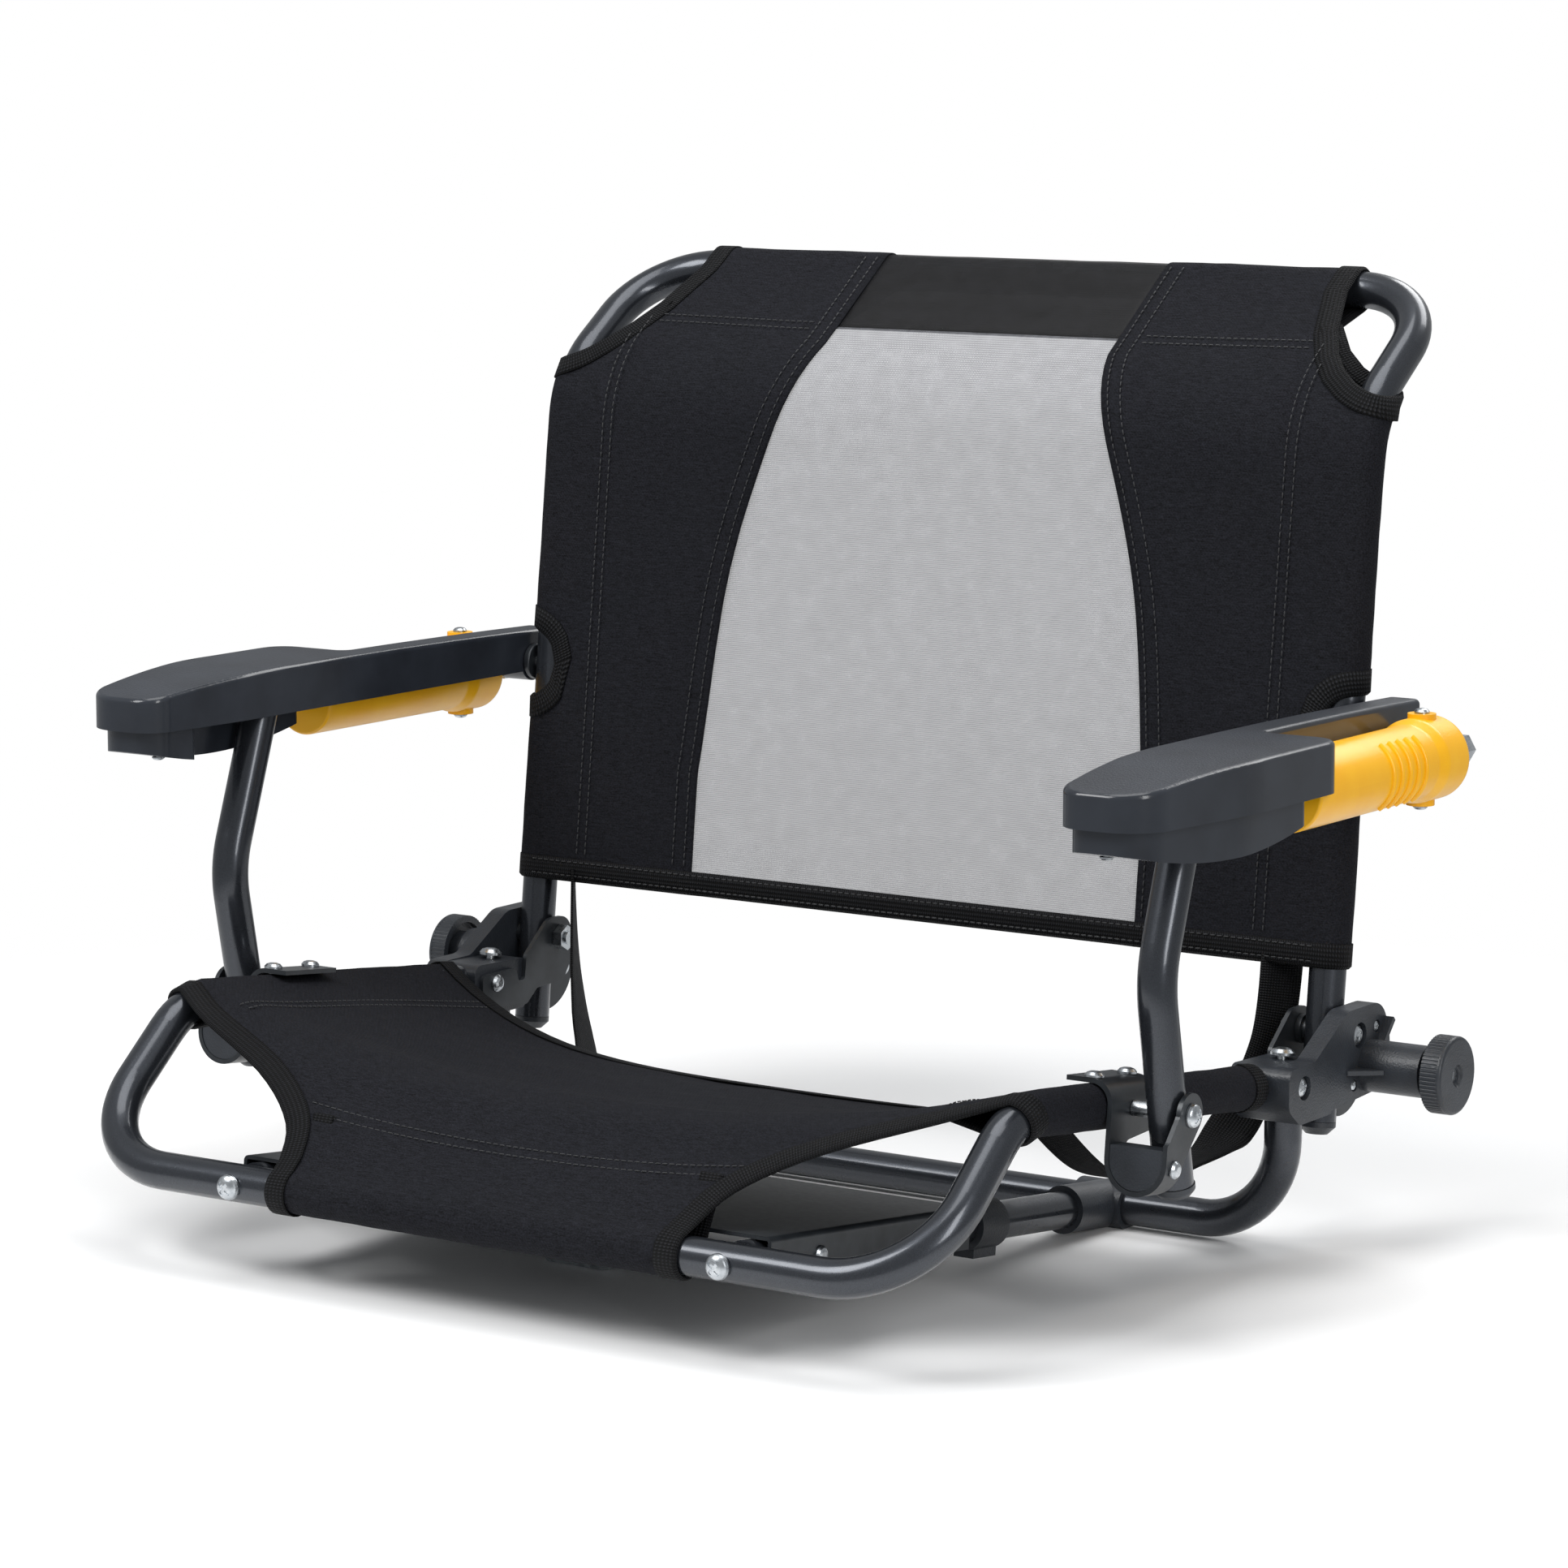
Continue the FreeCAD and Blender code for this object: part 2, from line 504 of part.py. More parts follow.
def post_bracket():
    """Steel strap over the rail, down its outer side and round a U up to the post's pivot."""
    t = mm("bracket_sheet")
    inner = rail_x + tube_r + mm("fabric") + 0.6
    ear = mm("post_x") + tube_r + 1.2
    over = tube_r + mm("fabric") + 0.6
    low = -41
    turn_r = (ear - inner - t) / 2
    body = new_body("bracket")
    strap = flat((rail_x - 12, over + t, 0), (inner + t, over + t, 12), (inner + t, low + t, turn_r),
                 (ear, low + t, turn_r), (ear, 14, 0), (ear + t, 14, 0), (ear + t, low, turn_r + t - 0.01),
                 (inner, low, turn_r + t - 0.01), (inner, over, 10), (rail_x - 12, over, 0))
    width = mm("bracket_width")
    pad(body, sketch_on(body, "XZ_Plane", -width / 2, strap), "sizes.bracket_width")
    ear_clear = flat((-width, 20, 0), (-11.2, 20, 0), (-11.2, 0, 6), (-21, -14, 4), (-width, -14, 0))
    pocket(body, sketch_on(body, "YZ_Plane", mm("post_x"), ear_clear), "40", reverse=True)
    rear_clear = flat((11.2, 20, 0), (11.2, -3, 10), (-6, -25, 6), (-6, low - 5, 0), (width, low - 5, 0), (width, 20, 0))
    pocket(body, sketch_on(body, "YZ_Plane", inner + t + 0.5, rear_clear), "60", reverse=True)
    ear_r = 11.2
    round_top = [Part.Arc(Vector(-ear_r, 0, 0), Vector(0, ear_r, 0), Vector(ear_r, 0, 0))]
    around = [Vector(ear_r, 0, 0), Vector(30, 0, 0), Vector(30, 30, 0), Vector(-30, 30, 0), Vector(-30, 0, 0),
              Vector(-ear_r, 0, 0)]
    round_top += [Part.LineSegment(first, last) for first, last in zip(around, around[1:])]
    pocket(body, sketch_on(body, "YZ_Plane", mm("post_x"), round_top), "40", reverse=True)
    wall_clear = flat((-6, -16, 4), (width, -8, 0), (width, low - 5, 0), (-6, low - 5, 0))
    pocket(body, sketch_on(body, "YZ_Plane", inner - 5, wall_clear), "12", reverse=True)
    pivot_hole = circle_edges((0, 0, mm("bolt_d") / 2 + 0.05), (-14, -26, 3.05))
    pocket(body, sketch_on(body, "YZ_Plane", ear - 2, pivot_hole), "10", reverse=True)
    body.Placement = Placement(Vector(0, post_pivot.y, post_pivot.z), Rotation(X_AXIS, -mm("rail_drop")))
    node_pair(body, "post_bracket")
    block = new_body("stop_block")
    half = (ear - inner - t) / 2 - 0.15
    middle = (ear + inner + t) / 2
    outline = flat((middle - half, low + t + 0.2, half - 0.2), (middle + half, low + t + 0.2, half - 0.2),
                   (middle + half, -16.5, 1), (middle - half, -16.5, 1))
    pad(block, sketch_on(block, "XZ_Plane", -1, outline), "22.5")
    slope = flat((3, -50, 0), (20, -50, 0), (20, 0, 0), (-12.5, 0, 0))
    pocket(block, sketch_on(block, "YZ_Plane", middle, slope))
    pocket(block, sketch_on(block, "YZ_Plane", middle, circle_edges((-14, -26, 3.05))))
    block.Placement = body.Placement
    node_pair(block, "post_stop_block")


def post_bolts():
    """Post pivot bolts through strap and ear, and the rivets that hold the stop blocks."""
    ear = mm("post_x") + tube_r + 1.2 + mm("bracket_sheet")
    inner = rail_x + tube_r + mm("fabric") + 0.8 + mm("bracket_sheet")
    bolt = dome_screw(12, 3.6, mm("bolt_d"), ear - inner)
    rivet = dome_screw(9, 2.6, 6, ear - inner - 1)
    tilt = Rotation(X_AXIS, -mm("rail_drop"))
    rivet_place = Vector(0, post_pivot.y, post_pivot.z) + tilt.multVec(Vector(0, -14, -26))
    bolts = []
    rivets = []
    for side in (1, -1):
        bolts.append((bolt, Vector(side * (ear + 0.1), post_pivot.y, post_pivot.z), X_AXIS * side))
        rivets.append((rivet, Vector(side * (ear + 0.1), rivet_place.y, rivet_place.z), X_AXIS * side))
    fastener_group("post_pivot_bolts", bolts)
    return rivets


def arm_post():
    low = post_pivot + lean(-mm("post_lean"), -mm("post_tail"))
    bend = post_pivot + lean(-mm("post_lean"), mm("post_bend_up"))
    high = post_top + (post_top - bend).normalize() * 9
    tube = swept_tube("post", [(low, 0), (bend, mm("post_radius")), (high, 0)])
    pivot_hole = cylinder("post_pivot_hole", "sizes.bolt_d / 2 + 0.05", "60", post_pivot - X_AXIS * 30, X_AXIS)
    pin_hole = cylinder("post_pin_hole", "sizes.bolt_d / 2 + 0.05", "60", post_top - X_AXIS * 30, X_AXIS)
    node_pair(cut("post_drilled", tube, pivot_hole, pin_hole), "arm_post")
    cap_r = tube_r
    profile = ((0, -6, 0), (cap_r - 2, -6, 0), (cap_r + 0.6, -3, 2), (cap_r + 0.6, -0.2, 0),
               (cap_r - mm("tube_wall") - 0.05, -0.2, 0), (cap_r - mm("tube_wall") - 0.05, 10, 0), (0, 10, 0))
    node_pair(turned("post_cap", profile, low, bend - low), "post_foot_cap")
    ends = (mm("post_x") - tube_r - 3.5, mm("can_x") + 8)
    pin = ((0, 0, 0), (6, 0, 0), (6, 3, 0), (mm("bolt_d") / 2, 3, 0), (mm("bolt_d") / 2, ends[1] - ends[0], 0),
           (0, ends[1] - ends[0], 0))
    node_pair(turned("post_pin", pin, Vector(ends[0], post_top.y, post_top.z), X_AXIS), "post_top_pin")


# Back frame

def back_tube():
    half = [(back_foot, 0), (back_knee, 60), (top_corner, mm("top_radius"))]
    other = [(left(point), radius) for point, radius in reversed(half)]
    tube = swept_tube("back", half + other)
    wide = 2 * rail_x + 60
    holes = (cylinder("back_hinge_hole", "sizes.bush_od / 2 + 0.05", str(wide), hinge - X_AXIS * (rail_x + wide / 2), X_AXIS),
             cylinder("back_arm_hole", "sizes.bolt_d / 2 + 0.05", str(wide), arm_pivot - X_AXIS * (rail_x + wide / 2), X_AXIS))
    node(cut("back_drilled", tube, *holes), "back_tube")
    inside = tube_r - mm("tube_wall") - 0.05
    profile = ((0, -7, 0), (tube_r - 4, -7, 0), (tube_r, -3, 0), (tube_r, -0.2, 0), (inside, -0.2, 0), (inside, 8, 0),
               (0, 8, 0))
    both_sides("upright_caps", turned("upright_cap", profile, back_foot, back_knee - back_foot))


def recline_quadrant():
    """Half-disc behind each upright that the clamp pad bears on."""
    low = rail_x - 4
    thick = 13.5
    centre = hinge + lean(mm("back_lean"), -18) + lean(mm("back_lean") + 90, 5)
    disc = cylinder("quadrant_disc", "sizes.quadrant_radius", str(thick), Vector(low, centre.y, centre.z), X_AXIS)
    seats = []
    for number, (turn, clear) in enumerate(((mm("back_lean"), 0.1), (mm("back_lean") + mm("rock_travel"), 0.3))):
        seats.append(cylinder(f"quadrant_seat_{number}", f"sizes.tube_od / 2 + {clear}", "160", hinge + lean(turn, -80),
                              lean(turn, 1)))
    front = doc.addObject("Part::Box", "quadrant_front")
    front.Length = 40
    front.Width = 60
    front.Height = 160
    corner = Vector(low - 10, hinge.y, hinge.z) + lean(mm("back_lean"), -98) + lean(mm("back_lean") + 90, -59)
    front.Placement = Placement(corner, Rotation(X_AXIS, -mm("back_lean")))
    relief = cylinder("quadrant_relief", "sizes.bush_od / 2 + 0.4", "60", hinge - X_AXIS * 30, X_AXIS)
    node_pair(cut("quadrant", disc, front, relief, *seats), "recline_quadrant")
    bolt = dome_screw(9, 2, 6, 10)
    place = hinge + lean(mm("back_lean"), -20) + lean(mm("back_lean") + 90, 23)
    return [(bolt, Vector(side * (low - 0.1), place.y, place.z), X_AXIS * -side) for side in (1, -1)]


def arm_pivots():
    """Bolts through the uprights, and the flanged knuckles that the armrests turn on."""
    bolt_r = mm("bolt_d") / 2
    tail = rail_x - tube_r - 3
    tip = mm("arm_inner") + mm("bar_width") - 1.5
    profile = ((0, 0, 0), (6, 0, 0), (6, 2.8, 0), (bolt_r, 2.8, 0), (bolt_r, tip - tail, 0), (0, tip - tail, 0))
    both_sides("arm_pivot_bolts", turned("arm_bolt", profile, Vector(tail, arm_pivot.y, arm_pivot.z), X_AXIS))
    start = rail_x + tube_r + 0.4
    face = mm("arm_inner") - 0.4 - start
    end = mm("arm_inner") + mm("bar_width") - 1.5 - start
    bore = bolt_r + 0.05
    bush = ((bore, 0, 0), (10.5, 0, 1), (10.5, face, 1), (6, face, 0), (6, end, 0), (bore, end, 0))
    node_pair(turned("knuckle", bush, Vector(start, arm_pivot.y, arm_pivot.z), X_AXIS), "arm_knuckle")


# Armrests, spring housings, springs and drawbars

def arm_outline(inset):
    """Plan outline of the armrest: a wide pad that narrows to a bar on its inner side."""
    inner = mm("arm_inner") + inset
    outer = mm("arm_outer") - inset
    bar = mm("arm_inner") + mm("bar_width") - inset
    tip = mm("arm_tip_y") + inset
    end = mm("pad_end_y") - inset
    rear = mm("bar_end_y") - (inset if inset == 0 else 40)
    return ((inner + 6, tip, 16 - inset), (outer - 12, tip, 24 - inset), (outer, tip + 90, 120), (outer, end, 16 - inset),
            (bar, end, 6 + inset), (bar, rear, 4), (inner, rear, 4), (inner, tip + 70, 90))


def armrest_top():
    """Top shell of the armrest, crowned along its length and hollow underneath."""
    base = mm("arm_skirt_z")
    top = mm("arm_top_z")
    tip = mm("arm_tip_y")
    body = new_body("arm_top")
    pad(body, sketch_on(body, "XY_Plane", base, flat(*arm_outline(0))), "sizes.arm_top_z - sizes.arm_skirt_z")
    crown = [Part.Arc(Vector(tip - 5, top - 9, 0), Vector(tip + 45, top - 3, 0), Vector(tip + 120, top - 0.2, 0)),
             Part.Arc(Vector(tip + 120, top - 0.2, 0), Vector(tip + 250, top - 1, 0), Vector(tip + 400, top - 4.5, 0)),
             Part.LineSegment(Vector(tip + 400, top - 4.5, 0), Vector(tip + 400, top + 20, 0)),
             Part.LineSegment(Vector(tip + 400, top + 20, 0), Vector(tip - 5, top + 20, 0)),
             Part.LineSegment(Vector(tip - 5, top + 20, 0), Vector(tip - 5, top - 9, 0))]
    crowned = pocket(body, sketch_on(body, "YZ_Plane", mm("can_x"), crown))
    doc.recompute()
    shape = crowned.Shape
    upper = [face for face in shape.Faces if face.CenterOfMass.z > top - 8 and face.normalAt(0.5, 0.5).z > 0.5]
    rim = {edge.hashCode() for face in upper for edge in face.OuterWire.Edges if edge.Length > 0.5}
    shared = [edge for face in upper for edge in face.Edges]
    seams = {edge.hashCode() for edge in shared if sum(edge.isSame(other) for other in shared) > 1}
    names = [f"Edge{number}" for number, edge in enumerate(shape.Edges, start=1)
             if edge.hashCode() in rim and edge.hashCode() not in seams]
    soften = body.newObject("PartDesign::Fillet", "arm_top_soften")
    soften.Base = (crowned, names)
    soften.Radius = 3
    body.Tip = soften
    wall = mm("shell_wall")
    pocket(body, sketch_on(body, "XY_Plane", base, flat(*arm_outline(wall))), "sizes.arm_top_z - sizes.arm_skirt_z - 12",
           reverse=True)
    inner = mm("arm_inner") + wall
    room = flat((inner, tip + 60, 6), (mm("arm_outer") - wall - 4, tip + 60, 6),
                (mm("arm_outer") - wall - 4, mm("pad_end_y") - 12, 6), (inner, mm("pad_end_y") - 12, 6))
    pocket(body, sketch_on(body, "XY_Plane", base, room), "sizes.arm_top_z - sizes.arm_skirt_z - 4.5", reverse=True)
    lug = cylinder("arm_lug", "11.5", "sizes.bar_width", Vector(mm("arm_inner"), arm_pivot.y, arm_pivot.z), X_AXIS)
    can_gap = cylinder("arm_can_gap", "sizes.can_od / 2 + 0.05", "260", Vector(mm("can_x"), mm("pad_end_y") - 16, mm("can_z")), Y_AXIS)
    collar_gap = cylinder("arm_collar_gap", "sizes.can_od / 2 + 2.35", "90",
                          Vector(mm("can_x"), mm("can_front_y") + mm("can_length") - 40, mm("can_z")), Y_AXIS)
    bore = cylinder("arm_bore", "6.05", "60", Vector(mm("arm_inner") - 20, arm_pivot.y, arm_pivot.z), X_AXIS)
    node_pair(cut("arm_top_bored", fuse("arm_top_lug", body, lug), can_gap, collar_gap, bore), "armrest_top")


def armrest_lower():
    """Lower tray under the pad's tip and outer side; the inner side stays open for the post."""
    floor = mm("arm_floor_z")
    tip = mm("arm_tip_y")
    wall = mm("shell_wall")
    outer = mm("arm_outer") - 6
    inner = mm("arm_inner") + 8
    end = mm("pad_end_y") - 26
    clear = mm("post_x") + tube_r + 2.5
    body = new_body("arm_tray")
    plan = flat((inner, tip + 5, 14), (outer - 10, tip + 5, 22), (outer, tip + 90, 120), (outer, end, 8),
                (clear, end, 3), (clear, tip + 40, 6), (inner, tip + 40, 4))
    pad(body, sketch_on(body, "XY_Plane", floor, plan), "sizes.arm_skirt_z - sizes.arm_floor_z - 0.2")
    belly = [Part.Arc(Vector(tip, floor + 11, 0), Vector(tip + 80, floor + 0.2, 0), Vector(end + 10, floor + 11, 0)),
             Part.LineSegment(Vector(end + 10, floor + 11, 0), Vector(end + 10, floor - 10, 0)),
             Part.LineSegment(Vector(end + 10, floor - 10, 0), Vector(tip, floor - 10, 0)),
             Part.LineSegment(Vector(tip, floor - 10, 0), Vector(tip, floor + 11, 0))]
    pocket(body, sketch_on(body, "YZ_Plane", mm("can_x"), belly))
    hollow = flat((inner + wall, tip + 9, 10), (outer - 10 - wall, tip + 9, 18), (outer - wall, tip + 90, 100),
                  (outer - wall, end + 5, 0), (clear + wall, end + 5, 0), (clear + wall, tip + 42, 4),
                  (inner + wall, tip + 42, 0))
    pocket(body, sketch_on(body, "XY_Plane", mm("arm_skirt_z"), hollow), "sizes.arm_skirt_z - sizes.arm_floor_z - 11")
    node_pair(body, "armrest_lower")


def spring_housing():
    """Yellow spring housing: a can with a raised rear collar, two screw ears and five grip ridges."""
    outer = mm("can_od") / 2
    bore = mm("can_bore") / 2
    length = mm("can_length")
    base = Vector(mm("can_x"), mm("can_front_y"), mm("can_z"))
    profile = ((mm("rod_d") / 2 + 0.8, 0, 0), (outer, 0, 1.5), (outer, length - 38, 6), (outer + 2.3, length - 31, 6),
               (outer + 2.3, length - 8, 6), (outer - 6, length, 4), (11, length, 0), (11, length - 4, 0),
               (bore, length - 4, 3), (bore, 4, 0), (mm("rod_d") / 2 + 0.8, 4, 0))
    can = turned("can", profile, base, Y_AXIS)
    pieces = [can]
    for number in range(5):
        ridge = doc.addObject("Part::Torus", f"ridge_{number}")
        ridge.setExpression("Radius1", "sizes.can_od / 2")
        ridge.Radius2 = 1.6
        ridge.Angle3 = 110
        turn = Rotation(Z_AXIS, -55)
        ridge.Placement = Placement(base + Y_AXIS * (77.7 + 9 * number), Rotation(X_AXIS, -90).multiply(turn))
        pieces.append(ridge)
    for name, way in (("ear_top", 1), ("ear_bottom", -1)):
        start = base + Y_AXIS * (length - mm("ear_inset")) + Z_AXIS * way * (bore + 0.6)
        pieces.append(cylinder(name, "7.5", "24.2 - sizes.can_bore / 2 - 0.6", start, Z_AXIS * way))
    node_pair(fuse("can_whole", *pieces), "spring_housing")


def biarc(start, start_way, end, end_way):
    """Two tangent arcs between two points with given directions."""
    chord = end - start
    ways = start_way + end_way
    spread = 2 * (1 - start_way.dot(end_way))
    lean_in = chord.dot(ways)
    reach = (math.sqrt(lean_in ** 2 + spread * chord.dot(chord)) - lean_in) / spread
    joint = (start + end + (start_way - end_way) * reach) * 0.5
    arcs = []
    for first, pull, last in ((start, start + start_way * reach, joint), (joint, end - end_way * reach, end)):
        middle = (first + last) * 0.5
        weight = (first - middle).Length / (first - pull).Length
        arcs.append(Part.Arc(first, (middle + pull * weight) * (1 / (1 + weight)), last))
    return arcs


def coil(name, base, mean_r, wire_r, length, turns):
    """A round-wire coil along Y as one pipe on quarter-turn biarcs."""
    pitch = length / turns

    def place(quarter):
        angle = quarter * math.pi / 2
        return base + Vector(mean_r * math.cos(angle), pitch * quarter / 4, mean_r * math.sin(angle))

    def way(quarter):
        angle = quarter * math.pi / 2
        return Vector(-mean_r * math.sin(angle), pitch / (2 * math.pi), mean_r * math.cos(angle)).normalize()

    edges = []
    for quarter in range(int(turns * 4)):
        edges += [arc.toShape() for arc in biarc(place(quarter), way(quarter), place(quarter + 1), way(quarter + 1))]
    spine = Part.Wire(edges)
    section = Part.Wire([Part.makeCircle(wire_r, place(0), way(0))])
    print(name, "least gap between turns", round(pitch - 2 * wire_r, 2))
    return hidden_feature(name, spine.makePipeShell([section], True, False))


def rock_spring():
    wire_r = mm("spring_wire") / 2
    mean_r = mm("spring_od") / 2 - wire_r
    base = Vector(mm("can_x"), mm("can_front_y") + 4.4 + wire_r, mm("can_z"))
    length = washer_y() - base.y - wire_r - 0.4
    node_pair(coil("rock_coil", base, mean_r, wire_r, length, mm("spring_turns")), "rock_spring")


def washer_y():
    """Front face of the washer that the drawbar pulls against the spring."""
    return mm("can_front_y") + mm("can_length") - 15


def drawbar():
    """Rod from the post's top pin through the spring housing, with an eye at its front end."""
    rod_start = Vector(mm("can_x"), post_top.y, mm("can_z"))
    rod_length = mm("can_front_y") + mm("can_length") + 30 - post_top.y
    rod = cylinder("drawbar_rod", "sizes.rod_d / 2", str(rod_length), rod_start, Y_AXIS)
    ring = cylinder("drawbar_ring", "11", "8", Vector(mm("can_x") - 4, post_top.y, post_top.z), X_AXIS)
    eye = cylinder("drawbar_eye", "sizes.bolt_d / 2 + 1.6", "20", Vector(mm("can_x") - 10, post_top.y, post_top.z), X_AXIS)
    node_pair(cut("drawbar_eyed", fuse("drawbar_body", rod, ring), eye), "drawbar")
    washer = Part.makeCylinder(15.5, 2.4).cut(Part.makeCylinder(mm("rod_d") / 2 + 0.03, 2.4))
    nut = hex_nut(15, 9, mm("rod_d") + 0.06)
    copies = []
    for place, shape in ((washer_y(), washer), (mm("can_front_y") + mm("can_length") + 17, nut)):
        copies.append(placed(shape, Vector(mm("can_x"), place, mm("can_z")), Y_AXIS))
    node_pair(hidden_feature("drawbar_stack", Part.makeCompound(copies)), "drawbar_nut")


def arm_screws():
    """Dome screws that hold each housing and tray, one node for each armrest."""
    screw = dome_screw(8, 2.4, 4, 5)
    for side, name in ((1, "right"), (-1, "left")):
        x = side * mm("can_x")
        y = mm("can_front_y") + mm("can_length") - mm("ear_inset")
        copies = [(screw, Vector(x, y, mm("can_z") + 24.4), Z_AXIS), (screw, Vector(x, y, mm("can_z") - 24.4), -Z_AXIS)]
        tray_x = side * (mm("arm_inner") + 22)
        copies.append((dome_screw(7, 1.8, 3, 4), Vector(tray_x, mm("arm_tip_y") + 24, mm("arm_floor_z") + 5.6), -Z_AXIS))
        fastener_group("armrest_screws_" + name, copies)


# Fabric

def strip_outline(line, half):
    """Closed outline of a strip of even thickness along a bent line of (point, radius) in the YZ plane."""
    upper = []
    lower = []
    for index, (point, radius) in enumerate(line):
        before = (point - line[index - 1][0]).normalize() if index else None
        after = (line[index + 1][0] - point).normalize() if index + 1 < len(line) else before
        before = before or after
        side = Vector(0, -before.z - after.z, before.y + after.y).normalize()
        reach = half / math.cos(before.getAngle(after) / 2)
        bend = half if before.cross(after).x > 0 else -half
        upper.append((point + side * reach, radius - bend if radius else 0))
        lower.append((point - side * reach, radius + bend if radius else 0))
    return rounded_wire(upper + lower[::-1], closed=True)


def strip(name, line, thick, width):
    """A flat strip that follows a bent line, its width along X from the line's own X."""
    face = hidden_feature(name + "_edge", Part.Face(strip_outline(line, thick / 2)))
    solid = doc.addObject("Part::Extrusion", name)
    solid.Base = face
    solid.Dir = X_AXIS
    solid.LengthFwd = width
    solid.Solid = True
    return solid


def back_panel(name, thick, half_width):
    """A sheet in front of the back frame that follows its bend."""
    forward = tube_r - 1.5
    turn = mm("top_lean") - mm("back_lean")
    shift_low = lean(mm("back_lean") - 90, forward)
    shift_high = lean(mm("top_lean") - 90, forward)
    shift_knee = (shift_low + shift_high).normalize() * (forward / math.cos(math.radians(turn / 2)))
    line = [(hinge + lean(mm("back_lean"), mm("hem_height")) + shift_low, 0),
            (back_knee + shift_knee, 60 + forward), (top_corner + shift_high, 0)]
    line = [(Vector(-half_width, point.y, point.z), radius) for point, radius in line]
    return strip(name, line, thick, 2 * half_width)


def window(grow):
    """Outline of the see-through window in the back, grown all round by a margin."""
    hem = hinge.z + mm("hem_height")
    height = back_knee.z - hem
    wide = mm("window_low") + grow
    narrow = mm("window_top") + grow
    sill = hem + 14 - grow
    shoulder = hem + 0.24 * height
    waist = hem + 0.68 * height
    neck = hem + 1.083 * height
    head = top_corner.z + 40
    rim = [Part.Arc(Vector(wide, 0, shoulder), Vector(narrow + 0.7 * (wide - narrow), 0, waist), Vector(narrow, 0, neck)),
           Part.LineSegment(Vector(narrow, 0, neck), Vector(narrow, 0, head)),
           Part.LineSegment(Vector(narrow, 0, head), Vector(-narrow, 0, head)),
           Part.LineSegment(Vector(-narrow, 0, head), Vector(-narrow, 0, neck)),
           Part.Arc(Vector(-narrow, 0, neck), Vector(-narrow - 0.7 * (wide - narrow), 0, waist), Vector(-wide, 0, shoulder)),
           Part.LineSegment(Vector(-wide, 0, shoulder), Vector(-wide, 0, sill)),
           Part.LineSegment(Vector(-wide, 0, sill), Vector(wide, 0, sill)),
           Part.LineSegment(Vector(wide, 0, sill), Vector(wide, 0, shoulder))]
    return Part.Wire([edge.toShape() for edge in rim])


def window_prism(name, grow):
    outline = window(grow)
    outline.translate(Vector(0, hinge.y - 120, 0))
    face = hidden_feature(name + "_face", Part.Face(outline))
    prism = doc.addObject("Part::Extrusion", name)
    prism.Base = face
    prism.Dir = Y_AXIS
    prism.LengthFwd = 420
    prism.Solid = True
    return prism


def back_sling():
    """Fabric back: sleeves on both uprights and the top tube, a panel between, cut-outs at corners and arms."""
    sleeve_outer = "sizes.tube_od / 2 + sizes.fabric + 0.2"
    sleeve_inner = "sizes.tube_od / 2 + 0.2"
    hem = hinge + lean(mm("back_lean"), mm("hem_height"))
    above = back_knee + lean(mm("top_lean"), 45)
    upright = swept_tube("upright_sleeve", [(hem, 0), (back_knee, 60), (above, 0)], sleeve_outer, sleeve_inner)
    reach = mm("top_sleeve")
    start = Vector(-reach, top_corner.y, top_corner.z)
    top = swept_tube("top_sleeve", [(start, 0), (left(start), 0)], sleeve_outer, sleeve_inner)
    path = [(back_foot, 0), (back_knee, 60), (top_corner, mm("top_radius"))]
    path += [(left(point), radius) for point, radius in reversed(path)]
    room = swept_rod("back_room", path, "sizes.tube_od / 2 + sizes.fabric / 2 + 0.2")
    panel = cut("back_sheet_trimmed", back_panel("back_sheet", mm("fabric"), rail_x), room)
    whole = fuse("back_cloth", panel, upright, mirrored("upright_sleeve_left", upright), top)
    cuts = [window_prism("mesh_opening", 0)]
    for side in (1, -1):
        corner = Vector(side * (rail_x + 24), hinge.y - 100, top_corner.z + 22)
        cuts.append(cylinder(f"corner_cut_{side + 1}", "75", "500", corner, Y_AXIS))
        notch = Vector(side * (rail_x + 10), hinge.y - 100, arm_pivot.z - 5)
        cuts.append(cylinder(f"arm_notch_{side + 1}", "26", "400", notch, Y_AXIS))
    node(cut("back_cloth_cut", whole, *cuts), "back_sling")
    mesh_panel = back_panel("mesh_sheet", mm("fabric") * 0.5, 100 + rail_x / 4)
    mesh_end = Vector(mm("window_top") - 0.3, top_corner.y, top_corner.z)
    mesh_top = swept_tube("mesh_sleeve", [(left(mesh_end), 0), (mesh_end, 0)], sleeve_outer, sleeve_inner)
    trimmed = doc.addObject("Part::Common", "mesh_trimmed")
    trimmed.Base = cut("mesh_sheet_trimmed", mesh_panel, room)
    trimmed.Tool = window_prism("mesh_outline", -0.3)
    node(fuse("mesh_whole", trimmed, mesh_top), "back_mesh")


def seat_section(name, y, half, edge_z, middle_z):
    """One cross-section of the hanging seat cloth: a thin crescent in the XZ plane."""
    thick = mm("fabric")
    rims = []
    for lift in (0, -thick):
        rims.append(Part.Arc(Vector(-half, y, edge_z + lift), Vector(0, y, middle_z + lift), Vector(half, y, edge_z + lift)))
    ends = [Part.makeLine(Vector(side * half, y, edge_z), Vector(side * half, y, edge_z - thick)) for side in (-1, 1)]
    return hidden_feature(name, Part.Wire(Part.__sortEdges__([rims[0].toShape(), rims[1].toShape()] + ends)))


